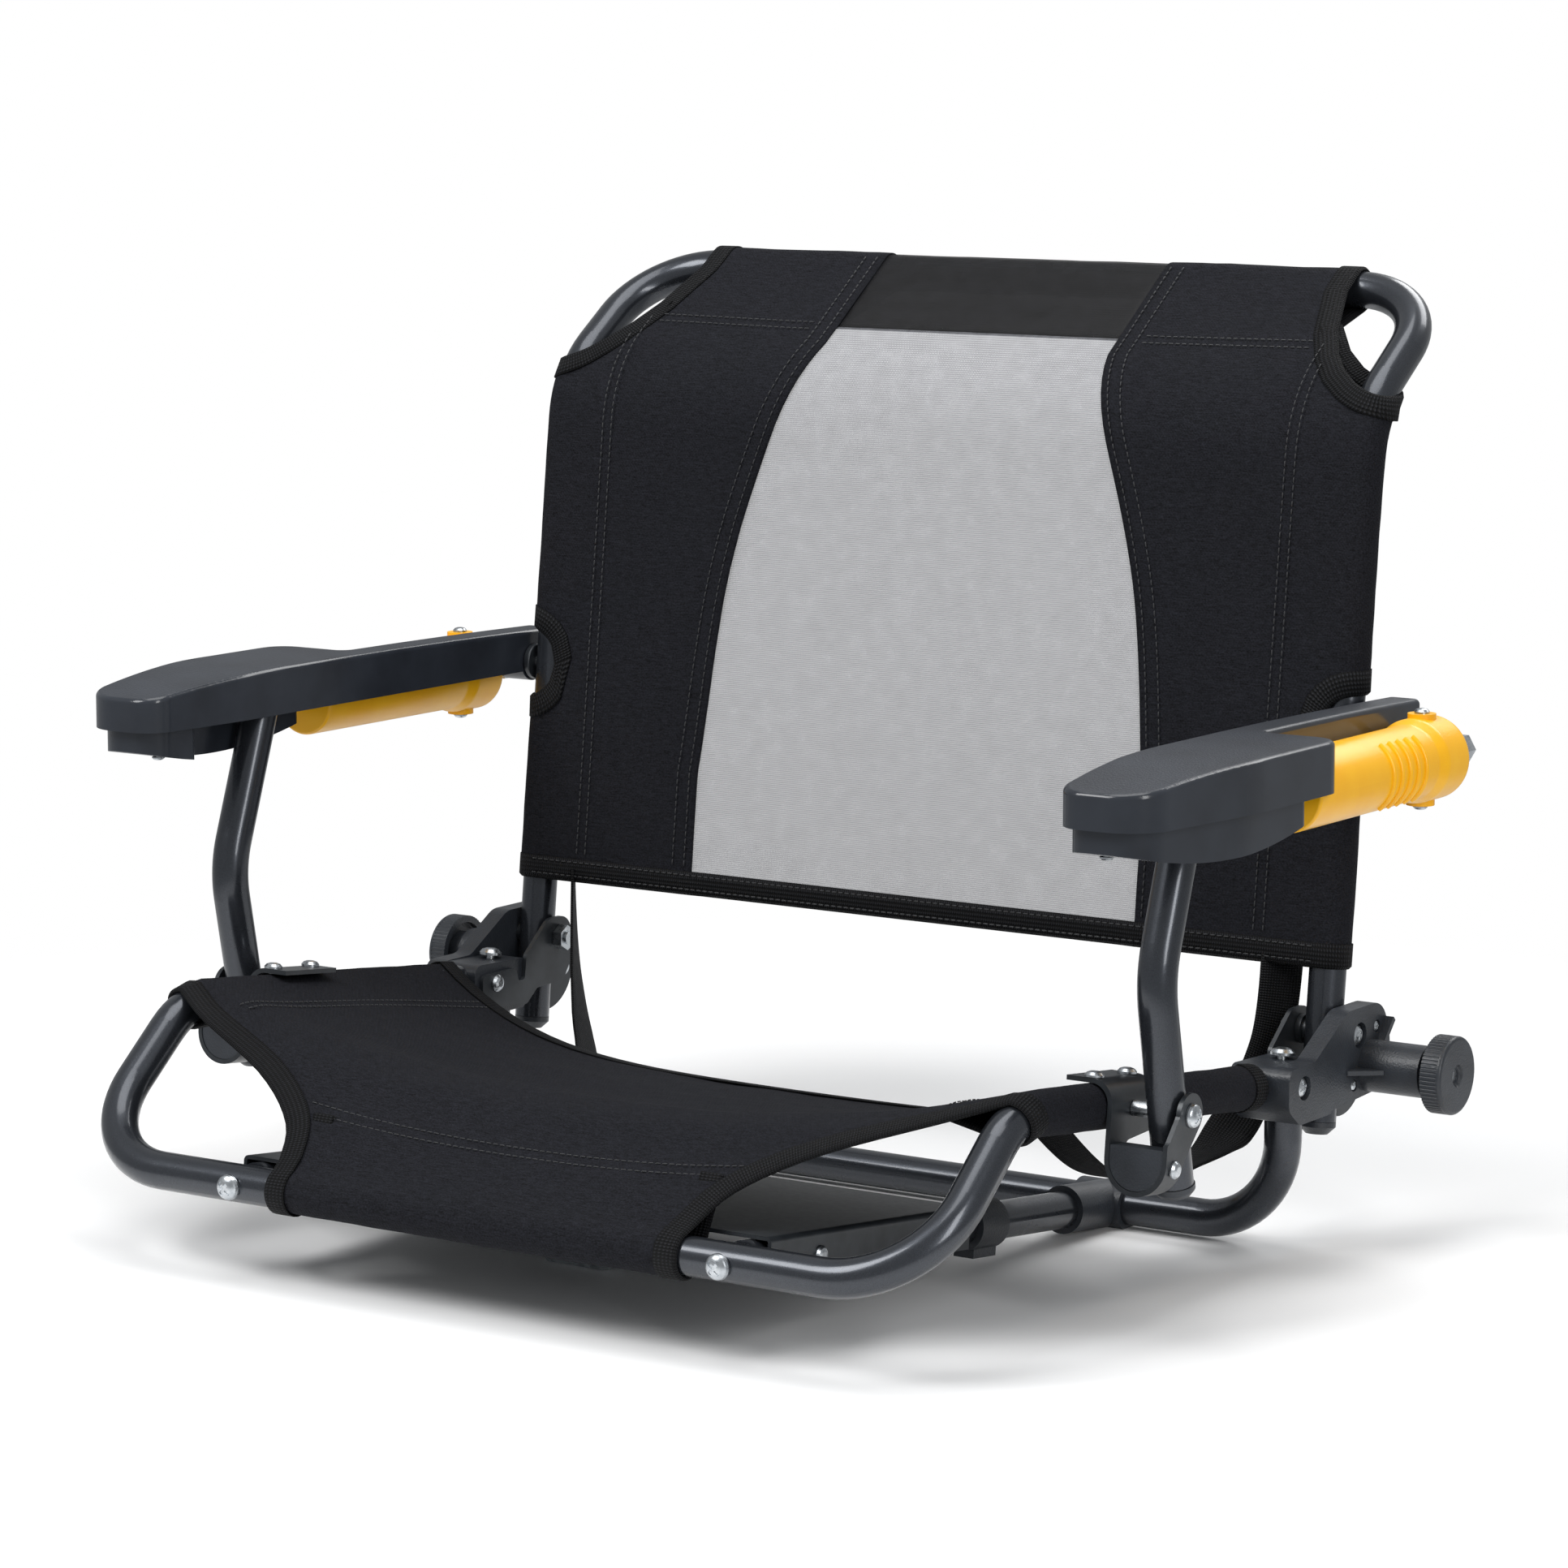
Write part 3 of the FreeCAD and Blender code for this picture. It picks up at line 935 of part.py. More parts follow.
def seat_sling():
    """Fabric seat: sleeves on both rails and the front tube, and a panel that hangs between them."""
    over = tube_r - 0.5
    front = mm("front_y")
    top = mm("front_z") + over
    sag = mm("seat_sag")
    knee = rail_knee.y
    rear = mm("seat_rear_y")
    crest = rail_knee.z + over - 5
    shape = ((0, 0, 0, 0.02), (24, 0.10, 0.28, 0.22), (46, 0.35, 0.56, 0.48), (67, 0.78, 0.86, 0.75))
    sections = []
    for number, (run, widen, climb, hang) in enumerate(shape):
        half = mm("front_sleeve") + (rail_x - mm("front_sleeve")) * widen
        edge = top + (crest - top) * climb
        sections.append(seat_section(f"cloth_{number}", front + run, half, edge, edge - sag * hang))
    for number, (y, hang) in enumerate(((knee, 1.0), (knee + 26, 1.2), ((knee + rear) / 2, 1.25), (rear, 1.0)), start=4):
        edge = crest if y == knee else rail_point(y).z + over
        sections.append(seat_section(f"cloth_{number}", y, rail_x, edge, edge - sag * hang))
    panel = doc.addObject("Part::Loft", "seat_panel")
    panel.Sections = sections
    panel.Solid = True
    panel.Ruled = True
    outer = "sizes.tube_od / 2 + sizes.fabric + 0.2"
    inner = "sizes.tube_od / 2 + 0.2"
    climb_way = (rail_knee - front_corner).normalize()
    run = [(rail_knee - climb_way * 24, 0), (rail_knee, mm("knee_radius")), (rail_point(rear), 0)]
    rail_sleeve = swept_tube("rail_sleeve", run, outer, inner)
    start = Vector(-mm("front_sleeve"), front, mm("front_z"))
    front_sleeve = swept_tube("front_sleeve_tube", [(start, 0), (left(start), 0)], outer, inner)
    path = [(rail_end, 0), (rail_knee, mm("knee_radius")), (front_corner, mm("corner_radius"))]
    path += [(left(point), radius) for point, radius in reversed(path)]
    room = swept_rod("seat_room", path, "sizes.tube_od / 2 + sizes.fabric / 2 + 0.2")
    bow = 1500
    scoop = cylinder("rear_scoop", str(bow), "200", Vector(0, rear - 24 + bow, 0), Z_AXIS)
    trimmed = cut("seat_panel_trimmed", panel, room, scoop)
    whole = fuse("seat_cloth", trimmed, rail_sleeve, mirrored("rail_sleeve_left", rail_sleeve), front_sleeve)
    node(whole, "seat_sling")


def restraint_straps():
    """Webbing from the back's lower hem down and forward to the underside of the seat."""
    x = rail_x - 50
    hem = hinge + lean(mm("back_lean"), mm("hem_height"))
    line = [(Vector(x, hem.y - 3, hem.z + 3), 0), (Vector(x, hem.y - 8, 70), 25), (Vector(x, hem.y - 60, 46), 25),
            (Vector(x, mm("seat_rear_y") - 33, 83), 0)]
    both_sides("restraint_straps", strip("restraint_strap", line, mm("webbing_sheet"), mm("webbing")))


# Fasteners on the seat frame

def frame_screws(quadrant_bolts, block_rivets):
    up = Rotation(X_AXIS, -mm("rail_drop")).multVec(Z_AXIS)
    over = tube_r + mm("fabric") + 0.6 + mm("bracket_sheet")
    copies = list(block_rivets)
    for side in (1, -1):
        for offset in (-17, 15):
            point = rail_point(post_pivot.y + offset) + up * (over + 0.1)
            copies.append((dome_screw(10, 3, 5, 3), Vector(side * (point.x + 1), point.y, point.z), up))
    fastener_group("bracket_fasteners", copies)
    copies = []
    for side in (1, -1):
        point = rail_point(hinge.y - 47) + up * (tube_r + 5.2)
        copies.append((dome_screw(13, 4, 5, 4), Vector(side * point.x, point.y, point.z), up))
        recess = mm("housing_outer") - 4
        copies.append((dome_screw(11, 3, 6, 8), Vector(side * recess, hinge.y - 61, hinge.z - 18), X_AXIS * side))
        for along, up_by in ((19, 2), (-6, -26)):
            seat = Vector(side * (mm("housing_outer") - 1.4), hinge.y + along, hinge.z + up_by)
            copies.append((dome_screw(5.6, 1.2, 3, 5), seat, X_AXIS * side))
        nut_face = mm("housing_inner") - mm("plate_sheet") - 0.3
        copies.append((dome_screw(10, 3, 6, 2), Vector(side * nut_face, hinge.y - 61, hinge.z - 18), X_AXIS * -side))
    fastener_group("hinge_screws", copies)
    fastener_group("quadrant_bolts", quadrant_bolts)
    flange = mm("lower_rail_x") + tube_r + 2.5
    face = mm("front_y") - tube_r
    copies = []
    for side in (1, -1):
        copies.append((dome_screw(13, 4.2, 6, 14), Vector(side * mm("lower_rail_x"), face - 0.1, mm("front_z")), -Y_AXIS))
        for run in (60, 158):
            point = lower_front + lower_run * run
            copies.append((dome_screw(10, 2.6, 5, 2), Vector(side * (flange + 0.1), point.y, point.z), X_AXIS * side))
    fastener_group("frame_fasteners", copies)


seat_loop_tube()
rear_base_tube()
lower_rail_tubes()
lower_rail_sleeves()
base_saddles()
under_seat_pan()
bench_hook()
hinge_housing()
hinge_plate()
hinge_pivots()
clamp_knobs()
post_bracket()
rivets_for_blocks = post_bolts()
arm_post()
back_tube()
quadrant_fixings = recline_quadrant()
arm_pivots()
armrest_top()
armrest_lower()
spring_housing()
rock_spring()
drawbar()
arm_screws()
back_sling()
seat_sling()
restraint_straps()
frame_screws(quadrant_fixings, rivets_for_blocks)

doc.recompute()
broken = [item for item in doc.Objects if "Invalid" in item.State or "Error" in item.State]
if broken:
    raise RuntimeError("not built: " + ", ".join(f"{item.Name}: {item.getStatusString()}" for item in broken))
os.makedirs("parts", exist_ok=True)
for solid in nodes:
    if solid.Shape.isNull() or not solid.Shape.isValid():
        raise RuntimeError("bad shape: " + solid.Label)
    solid.Shape.exportStep(f"parts/{solid.Label}.step")
print(len(nodes), "nodes written")
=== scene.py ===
import json
import math
import random

import bmesh
import bpy
import numpy as np
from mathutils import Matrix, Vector, noise


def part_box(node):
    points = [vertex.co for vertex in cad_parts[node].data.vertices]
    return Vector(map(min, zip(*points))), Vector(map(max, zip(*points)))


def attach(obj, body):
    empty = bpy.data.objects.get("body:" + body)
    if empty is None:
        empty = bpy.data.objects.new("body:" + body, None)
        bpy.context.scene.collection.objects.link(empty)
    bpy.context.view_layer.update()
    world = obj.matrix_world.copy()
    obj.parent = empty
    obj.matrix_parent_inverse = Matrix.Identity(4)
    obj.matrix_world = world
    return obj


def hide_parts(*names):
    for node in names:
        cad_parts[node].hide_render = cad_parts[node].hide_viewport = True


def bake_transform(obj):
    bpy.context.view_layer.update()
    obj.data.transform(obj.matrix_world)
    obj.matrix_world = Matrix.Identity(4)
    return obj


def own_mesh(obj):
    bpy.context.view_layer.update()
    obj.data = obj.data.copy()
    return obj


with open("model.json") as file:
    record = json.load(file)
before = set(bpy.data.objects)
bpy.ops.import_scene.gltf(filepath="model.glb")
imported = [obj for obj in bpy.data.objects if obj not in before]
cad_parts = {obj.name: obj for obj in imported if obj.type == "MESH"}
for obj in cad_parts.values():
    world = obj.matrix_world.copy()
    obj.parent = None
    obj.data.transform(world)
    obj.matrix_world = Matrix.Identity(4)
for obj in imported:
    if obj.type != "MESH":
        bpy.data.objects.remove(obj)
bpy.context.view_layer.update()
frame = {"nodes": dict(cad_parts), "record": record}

random.seed(7)

# Sizes of the seat, in metres, the same as the solid model's

CLOTH = 0.0010
SLEEVE_R = 0.0112
RAIL_X = 0.261
FRONT_Y, FRONT_Z = -0.2615, 0.051
HINGE_Y, HINGE_Z = 0.1395, 0.111
BACK_LEAN, TOP_LEAN = math.radians(6.5), math.radians(55)
HEM_UP = 0.035
KNEE_UP = 0.3297
TOP_RUN = 0.1034
ARM_PIVOT_Z = 0.270
POST_PIVOT_Y = -0.0865
RAIL_DROP = math.tan(math.radians(6.5))
FRONT_RISE = math.tan(math.radians(40))
SEAT_REAR_Y = 0.057
SEAT_SAG = 0.030
FRONT_HALF = 0.128
WINDOW_LOW, WINDOW_TOP = 0.147, 0.093
SEAM_X = 0.221
TAPE = 0.0125


# Lines that the cloth follows

class BentLine:
    """Straight runs joined by arcs in the YZ plane, followed by length. Corners are (y, z, radius)."""

    def __init__(self, corners):
        points = [np.array(corner[:2], float) for corner in corners]
        self.runs = []
        start = points[0]
        for index in range(1, len(points)):
            way = points[index] - points[index - 1]
            way = way / np.linalg.norm(way)
            radius = corners[index][2]
            if radius:
                after = points[index + 1] - points[index]
                after = after / np.linalg.norm(after)
                turn = math.atan2(way[0] * after[1] - way[1] * after[0], way @ after)
                end = points[index] - way * radius * math.tan(abs(turn) / 2)
                self.runs.append((np.linalg.norm(end - start), start, way, 0))
                self.runs.append((radius * abs(turn), end, way, math.copysign(1 / radius, turn)))
                start = points[index] + after * radius * math.tan(abs(turn) / 2)
            else:
                self.runs.append((np.linalg.norm(points[index] - start), start, way, 0))
        self.length = sum(run[0] for run in self.runs)

    def at(self, length):
        """Point and way at a length from the start; past either end the line goes on straight."""
        left = length
        for number, (run, start, way, curve) in enumerate(self.runs):
            if left <= run or number == len(self.runs) - 1:
                break
            left -= run
        if not curve:
            return start + way * left, way
        cos, sin = math.cos(curve * left), math.sin(curve * left)
        turned = np.array((cos * way[0] - sin * way[1], sin * way[0] + cos * way[1]))
        return start + np.array((turned[1] - way[1], way[0] - turned[0])) / curve, turned

    def point(self, x, out, length):
        """A point at a distance off the line, on its forward or upper side."""
        place, way = self.at(length)
        return Vector((x, place[0] - way[1] * out, place[1] + way[0] * out))

    def normal(self, length):
        way = self.at(length)[1]
        return Vector((0, -way[1], way[0]))

    def length_at_height(self, height, out):
        low, high = 0.0, self.length + 0.03
        for _ in range(40):
            middle = (low + high) / 2
            if self.point(0, out, middle).z < height:
                low = middle
            else:
                high = middle
        return low


def leaning(point, angle, run):
    return (point[0] + math.sin(angle) * run, point[1] + math.cos(angle) * run)


hem = leaning((HINGE_Y, HINGE_Z), BACK_LEAN, HEM_UP)
back_knee = leaning((HINGE_Y, HINGE_Z), BACK_LEAN, KNEE_UP)
back_top = leaning(back_knee, TOP_LEAN, TOP_RUN)
back_line = BentLine([(*hem, 0), (*back_knee, 0.060), (*back_top, 0)])
knee_y = (HINGE_Z - FRONT_Z + POST_PIVOT_Y * RAIL_DROP + FRONT_Y * FRONT_RISE) / (FRONT_RISE + RAIL_DROP)
knee_z = HINGE_Z - (knee_y - POST_PIVOT_Y) * RAIL_DROP
rear_z = HINGE_Z - (SEAT_REAR_Y - POST_PIVOT_Y) * RAIL_DROP
rail_line = BentLine([(FRONT_Y, FRONT_Z, 0), (knee_y, knee_z, 0.045), (SEAT_REAR_Y, rear_z, 0)])


def smooth_table(value, places, heights):
    """Smooth curve through a few (place, height) pairs."""
    slopes = np.gradient(np.array(heights, float), np.array(places, float))
    index = int(np.clip(np.searchsorted(places, value) - 1, 0, len(places) - 2))
    span = places[index + 1] - places[index]
    t = float(np.clip((value - places[index]) / span, 0, 1))
    first = heights[index] * (1 + 2 * t) * (1 - t) ** 2 + slopes[index] * span * t * (1 - t) ** 2
    second = heights[index + 1] * t * t * (3 - 2 * t) + slopes[index + 1] * span * t * t * (t - 1)
    return first + second


def around_tube(back, rise, start=0.0, steps=16):
    """Section of a sleeve as (across, out) pairs: round the tube, ending where it leaves for its seam."""
    end = math.pi + math.asin(SLEEVE_R / math.hypot(back, rise)) + math.atan2(rise, back)
    return [(SLEEVE_R * math.sin(angle), SLEEVE_R * math.cos(angle))
            for angle in np.linspace(start, end, steps)]


# Building blocks for cloth

def finish_piece(mesh, name, body, finish):
    """Turns a bmesh into a smooth-shaded piece that rides on a body, or on none if no body is given."""
    bmesh.ops.recalc_face_normals(mesh, faces=mesh.faces)
    data = bpy.data.meshes.new(name)
    mesh.to_mesh(data)
    mesh.free()
    data.shade_smooth()
    data.materials.append(finish)
    piece = bpy.data.objects.new(name, data)
    bpy.context.scene.collection.objects.link(piece)
    if body:
        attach(piece, body)
    return piece


def add_grid(mesh, rows):
    grid = [[mesh.verts.new(point) for point in row] for row in rows]
    for low, high in zip(grid, grid[1:]):
        for corners in zip(low, low[1:], high[1:], high):
            mesh.faces.new(corners)


def thicken(piece, thickness):
    shell = piece.modifiers.new("thickness", "SOLIDIFY")
    shell.thickness = thickness
    shell.offset = 0


def cloth_piece(name, grids, body, finish, crease=0.0):
    """One sheet sewn from several grids of points, with soft creases pressed into it."""
    mesh = bmesh.new()
    for rows in grids:
        add_grid(mesh, rows)
    bmesh.ops.remove_doubles(mesh, verts=mesh.verts, dist=0.0002)
    bmesh.ops.dissolve_degenerate(mesh, edges=mesh.edges, dist=0.00005)
    mesh.normal_update()
    for vert in mesh.verts:
        place = vert.co
        broad = noise.noise(Vector((place.x * 26, place.y * 26, place.z * 14)))
        fine = noise.noise(Vector((place.x * 70 + place.z * 40, place.y * 60, place.z * 55)))
        vert.co = place + vert.normal * crease * (broad + 0.4 * fine)
    piece = finish_piece(mesh, name, body, finish)
    thicken(piece, CLOTH)
    return piece


def even_vectors(vectors, passes):
    for _ in range(passes):
        ends = [vectors[0]] + vectors + [vectors[-1]]
        vectors = [(a + b * 2 + c).normalized() for a, b, c in zip(ends, vectors, ends[2:])]
    return vectors


def way_along(points, index):
    return (points[min(index + 1, len(points) - 1)] - points[max(index - 1, 0)]).normalized()


def binding(name, edge, body, finish, closed=False):
    """Woven tape folded over an edge of cloth. edge is a list of (point on the edge, point inside it)."""
    points = [pair[0] for pair in edge]
    inward = []
    for index, (point, inside) in enumerate(edge):
        way = way_along(points, index)
        step = inside - point
        inward.append((step - way * step.dot(way)).normalized())
    inward = even_vectors(inward, 3)
    thick = CLOTH / 2 + 0.0006
    fold = ((TAPE, -thick), (TAPE * 0.5, -thick), (0.0006, -thick), (-0.0007, 0), (0.0006, thick),
            (TAPE * 0.5, thick), (TAPE, thick))
    mesh = bmesh.new()
    mapping = mesh.loops.layers.uv.new("along")
    rows = []
    run = 0.0
    for index, (point, side) in enumerate(zip(points, inward)):
        run += (point - points[index - 1]).length if index else 0
        face_way = way_along(points, index).cross(side).normalized()
        row = [mesh.verts.new(point + side * deep + face_way * high) for deep, high in fold]
        rows.append((run, row))
    if closed:
        rows.append((run + (points[0] - points[-1]).length, rows[0][1]))
    for (run_a, low), (run_b, high) in zip(rows, rows[1:]):
        for number in range(len(fold) - 1):
            face = mesh.faces.new((low[number], low[number + 1], high[number + 1], high[number]))
            across = number * TAPE / 3
            spots = ((run_a, across), (run_a, across + TAPE / 3),
                     (run_b, across + TAPE / 3), (run_b, across))
            for loop, spot in zip(face.loops, spots):
                loop[mapping].uv = spot
    piece = finish_piece(mesh, name, body, finish)
    thicken(piece, 0.0007)
    return piece


def stitching(name, lines, body, finish, pitch=0.0042):
    """Rows of thread: each line is a list of (point on the cloth, way out of the cloth)."""
    mesh = bmesh.new()
    radius, half = 0.00036, 0.0015
    for line in lines:
        points = [pair[0] for pair in line]
        lengths = np.concatenate(([0], np.cumsum([(b - a).length for a, b in zip(points, points[1:])])))
        for place in np.arange(pitch, lengths[-1] - pitch / 2, pitch):
            index = int(np.searchsorted(lengths, place)) - 1
            along = (points[index + 1] - points[index]).normalized()
            middle = points[index] + along * (place - lengths[index])
            out = line[index][1]
            side = along.cross(out).normalized()
            rings = []
            for step, size in ((-1, 0.35), (-0.7, 1), (0.7, 1), (1, 0.35)):
                centre = middle + along * half * step + out * radius * (0.4 + 0.5 * size)
                ring = [centre + (side * math.cos(turn) + out * math.sin(turn)) * radius * size
                        for turn in np.linspace(0, 2 * math.pi, 6)[:-1]]
                rings.append([mesh.verts.new(point) for point in ring])
            for low, high in zip(rings, rings[1:]):
                for number in range(5):
                    after = (number + 1) % 5
                    mesh.faces.new((low[number], low[after], high[after], high[number]))
            mesh.faces.new(rings[0][::-1])
            mesh.faces.new(rings[-1])
    return finish_piece(mesh, name, body, finish)


def flipped(grid, side):
    return [[Vector((side * point.x, point.y, point.z)) for point in row] for row in grid]


# Materials

def linear(red, green, blue):
    """A colour as it is seen on screen, 0 to 255, in linear light."""
    return tuple(((value / 255 + 0.055) / 1.055) ** 2.4 if value > 10 else value / 255 / 12.92
                 for value in (red, green, blue)) + (1,)


class Finish:
    """A material whose colour, roughness and bump come from procedural textures."""

    def __init__(self, name):
        self.material = bpy.data.materials.new(name)
        self.material.use_nodes = True
        self.tree = self.material.node_tree
        self.shader = self.tree.nodes["Principled BSDF"]
        self.place = self.tree.nodes.new("ShaderNodeTexCoord")

    def add(self, kind, links=(), **values):
        node = self.tree.nodes.new(kind)
        for key, value in values.items():
            socket = node.inputs.get(key.replace("_", " "))
            if socket is None:
                setattr(node, key, value)
            else:
                socket.default_value = value
        for name, source in links:
            self.tree.links.new(source, node.inputs[name])
        return node

    def spread(self, scale, source="Object"):
        return self.add("ShaderNodeMapping", [("Vector", self.place.outputs[source])], Scale=scale).outputs[0]

    def noise(self, scale, detail=2.0, stretch=(1, 1, 1)):
        links = [("Vector", self.spread(stretch))]
        return self.add("ShaderNodeTexNoise", links, Scale=scale, Detail=detail).outputs["Fac"]

    def wave(self, scale, stretch=(1, 1, 1), source="Object", axis="X", distortion=0.0):
        links = [("Vector", self.spread(stretch, source))]
        return self.add("ShaderNodeTexWave", links, bands_direction=axis, Scale=scale,
                        Distortion=distortion).outputs["Fac"]

    def sums(self, operation, first, second):
        node = self.add("ShaderNodeMath", operation=operation)
        for index, value in enumerate((first, second)):
            if isinstance(value, float):
                node.inputs[index].default_value = value
            else:
                self.tree.links.new(value, node.inputs[index])
        return node.outputs[0]

    def colour(self, factor, low, high, start=0.3, end=0.7):
        ramp = self.add("ShaderNodeValToRGB", [("Fac", factor)])
        ramp.color_ramp.elements[0].position = start
        ramp.color_ramp.elements[0].color = low
        ramp.color_ramp.elements[1].position = end
        ramp.color_ramp.elements[1].color = high
        self.tree.links.new(ramp.outputs["Color"], self.shader.inputs["Base Color"])

    def ranged(self, factor, low, high):
        return self.add("ShaderNodeMapRange", [("Value", factor)], To_Min=low, To_Max=high).outputs[0]

    def rough(self, factor, low, high):
        self.tree.links.new(self.ranged(factor, low, high), self.shader.inputs["Roughness"])

    def bump(self, height, strength, distance):
        node = self.add("ShaderNodeBump", [("Height", height)], Strength=strength, Distance=distance)
        self.tree.links.new(node.outputs[0], self.shader.inputs["Normal"])

    def set(self, **values):
        for key, value in values.items():
            self.shader.inputs[key.replace("_", " ")].default_value = value
        return self.material


def tube_paint():
    """Satin charcoal metallic powder coat."""
    finish = Finish("tube_paint")
    flake = finish.noise(2600, 1)
    finish.colour(flake, linear(48, 50, 56), linear(67, 71, 77), 0.25, 0.75)
    finish.rough(finish.noise(60, 3), 0.24, 0.32)
    finish.bump(finish.noise(900, 2), 0.06, 0.0004)
    return finish.set(Metallic=0.7, Coat_Weight=0.5, Coat_Roughness=0.10)


def moulded(name, low, high, rough, pebble, pebble_size):
    """Moulded plastic with a fine pebbled skin."""
    finish = Finish(name)
    finish.colour(finish.noise(45, 4), low, high)
    finish.rough(finish.noise(220, 2), rough - 0.05, rough + 0.06)
    cells = finish.add("ShaderNodeTexVoronoi", [("Vector", finish.spread((1, 1, 1)))], Scale=pebble_size)
    finish.bump(cells.outputs["Distance"], pebble, 0.0004)
    return finish.set(Specular_IOR_Level=0.5)


def armrest_plastic():
    """Gloss sides and a pebbled top, told apart by which way the surface faces."""
    finish = Finish("arm_plastic")
    finish.colour(finish.noise(30, 4), linear(38, 41, 47), linear(47, 51, 58))
    split = finish.add("ShaderNodeSeparateXYZ", [("Vector", finish.place.outputs["Normal"])])
    facing = finish.add("ShaderNodeMapRange", [("Value", split.outputs["Z"])], From_Min=0.80, From_Max=0.95)
    finish.rough(facing.outputs[0], 0.18, 0.48)
    cells = finish.add("ShaderNodeTexVoronoi", [("Vector", finish.spread((1, 1, 1)))], Scale=950)
    finish.bump(finish.sums("MULTIPLY", cells.outputs["Distance"], facing.outputs[0]), 0.55, 0.0004)
    return finish.set(Specular_IOR_Level=0.5)


def black_steel():
    finish = Finish("black_steel")
    finish.colour(finish.noise(70, 4), linear(34, 37, 41), linear(50, 54, 58))
    finish.rough(finish.noise(300, 2), 0.30, 0.44)
    finish.bump(finish.noise(1500, 2), 0.10, 0.0003)
    return finish.set(Metallic=0.35, Coat_Weight=0.2, Coat_Roughness=0.3)


def zinc():
    """Bright zinc plate with faint rolling marks."""
    finish = Finish("zinc")
    finish.colour(finish.noise(160, 3), linear(168, 173, 178), linear(214, 218, 221))
    finish.rough(finish.noise(400, 2, (1, 1, 4)), 0.22, 0.36)
    finish.bump(finish.noise(1100, 2, (1, 1, 5)), 0.06, 0.0003)
    return finish.set(Metallic=1.0)


def woven_fabric():
    """Black polyester cloth with a fine plain weave and slightly uneven threads."""
    finish = Finish("fabric")
    slub = finish.noise(180, 3, (1, 6, 9))
    grain = finish.noise(1500, 2, (0.6, 1, 1))
    shade = finish.sums("ADD", finish.sums("MULTIPLY", slub, 0.45), finish.sums("MULTIPLY", grain, 0.55))
    finish.colour(shade, linear(9, 9, 11), linear(37, 38, 44), 0.32, 0.68)
    finish.rough(finish.noise(90, 2), 0.78, 0.92)
    warp = finish.wave(330, axis="X", distortion=0.6)
    weft = finish.wave(330, (1, 0.7, 0.7), axis="DIAGONAL", distortion=0.8)
    weave = finish.sums("MULTIPLY", warp, weft)
    finish.bump(finish.sums("ADD", weave, shade), 0.4, 0.0004)
    return finish.set(Specular_IOR_Level=0.12)


def open_mesh(name, low, high, thin, thick):
    """Fine knitted mesh: dark threads with holes between them."""
    finish = Finish(name)
    warp = finish.wave(290, axis="X")
    weft = finish.wave(290, (1, 1, 1), axis="Z", distortion=0.3)
    threads = finish.sums("MAXIMUM", warp, weft)
    finish.colour(finish.noise(120, 3), low, high)
    finish.rough(finish.noise(80, 2), 0.55, 0.7)
    finish.bump(threads, 0.3, 0.0004)
    finish.tree.links.new(finish.ranged(threads, thin, thick), finish.shader.inputs["Alpha"])
    return finish.set(Specular_IOR_Level=0.3)


def ribbed_tape(name, low, high):
    """Ribbed webbing: ribs across the tape, drawn along its own length."""
    finish = Finish(name)
    ribs = finish.wave(215, source="UV", axis="X", distortion=0.4)
    cords = finish.wave(190, source="UV", axis="Y")
    # the colour follows the ribs and cords, darker where they dip: painted shade in the grooves of the
    # webbing
    finish.colour(finish.sums("MULTIPLY", ribs, cords), low, high, 0.1, 0.9)
    finish.rough(finish.noise(200, 2), 0.6, 0.8)
    finish.bump(finish.sums("ADD", ribs, finish.sums("MULTIPLY", cords, 0.5)), 0.9, 0.0008)
    return finish.set(Specular_IOR_Level=0.2)


def thread():
    finish = Finish("thread")
    finish.colour(finish.noise(700, 2), linear(20, 21, 24), linear(34, 35, 39))
    finish.rough(finish.noise(300, 1), 0.5, 0.65)
    return finish.set(Sheen_Weight=0.2)


finishes = {
    "frame_tube": tube_paint(),
    "housing_plastic": moulded("housing_plastic", linear(38, 41, 46), linear(49, 53, 59), 0.38, 0.25, 900),
    "black_steel": black_steel(),
    "zinc": zinc(),
    "arm_plastic": armrest_plastic(),
    "yellow_plastic": moulded("yellow_plastic", linear(249, 180, 10), linear(254, 190, 22), 0.30, 0.08, 1100),
    "fabric": woven_fabric(),
    "mesh": open_mesh("mesh", linear(120, 121, 126), linear(140, 141, 146), 0.22, 0.55),
    "webbing": ribbed_tape("webbing", linear(4, 4, 5), linear(36, 37, 41)),
}
fabric = finishes["fabric"]
tape = finishes["webbing"]
sewing = thread()
double_mesh = open_mesh("double_mesh", linear(8, 8, 10), linear(20, 20, 23), 0.55, 0.86)

for part in frame["record"]["subparts"]:
    for place in frame["nodes"][part["node"]].material_slots:
        place.material = finishes[part["material_slot"]]


# Back: two cloth panels sleeved over the frame, with a mesh window between them

CORNER_X, CORNER_Z, CORNER_R = RAIL_X + 0.024, back_top[1] + 0.022, 0.075
NOTCH_X, NOTCH_Z, NOTCH_R = RAIL_X + 0.010, ARM_PIVOT_Z + 0.001, 0.020
PANEL_X = CORNER_X - math.sqrt(CORNER_R ** 2 - 0.022 ** 2)
NOTCH_EDGE_X = NOTCH_X - NOTCH_R
FLAP = 0.061
window_height = back_knee[1] - hem[1]
window_levels = [hem[1] + share * window_height for share in (0.24, 0.68, 1.083)]
window_halves = (WINDOW_LOW, WINDOW_TOP + 0.7 * (WINDOW_LOW - WINDOW_TOP), WINDOW_TOP)


def window_half(height):
    """Half width of the mesh window at a height."""
    if height <= window_levels[0]:
        return WINDOW_LOW
    if height >= window_levels[2]:
        return WINDOW_TOP
    return smooth_table(height, window_levels, window_halves)


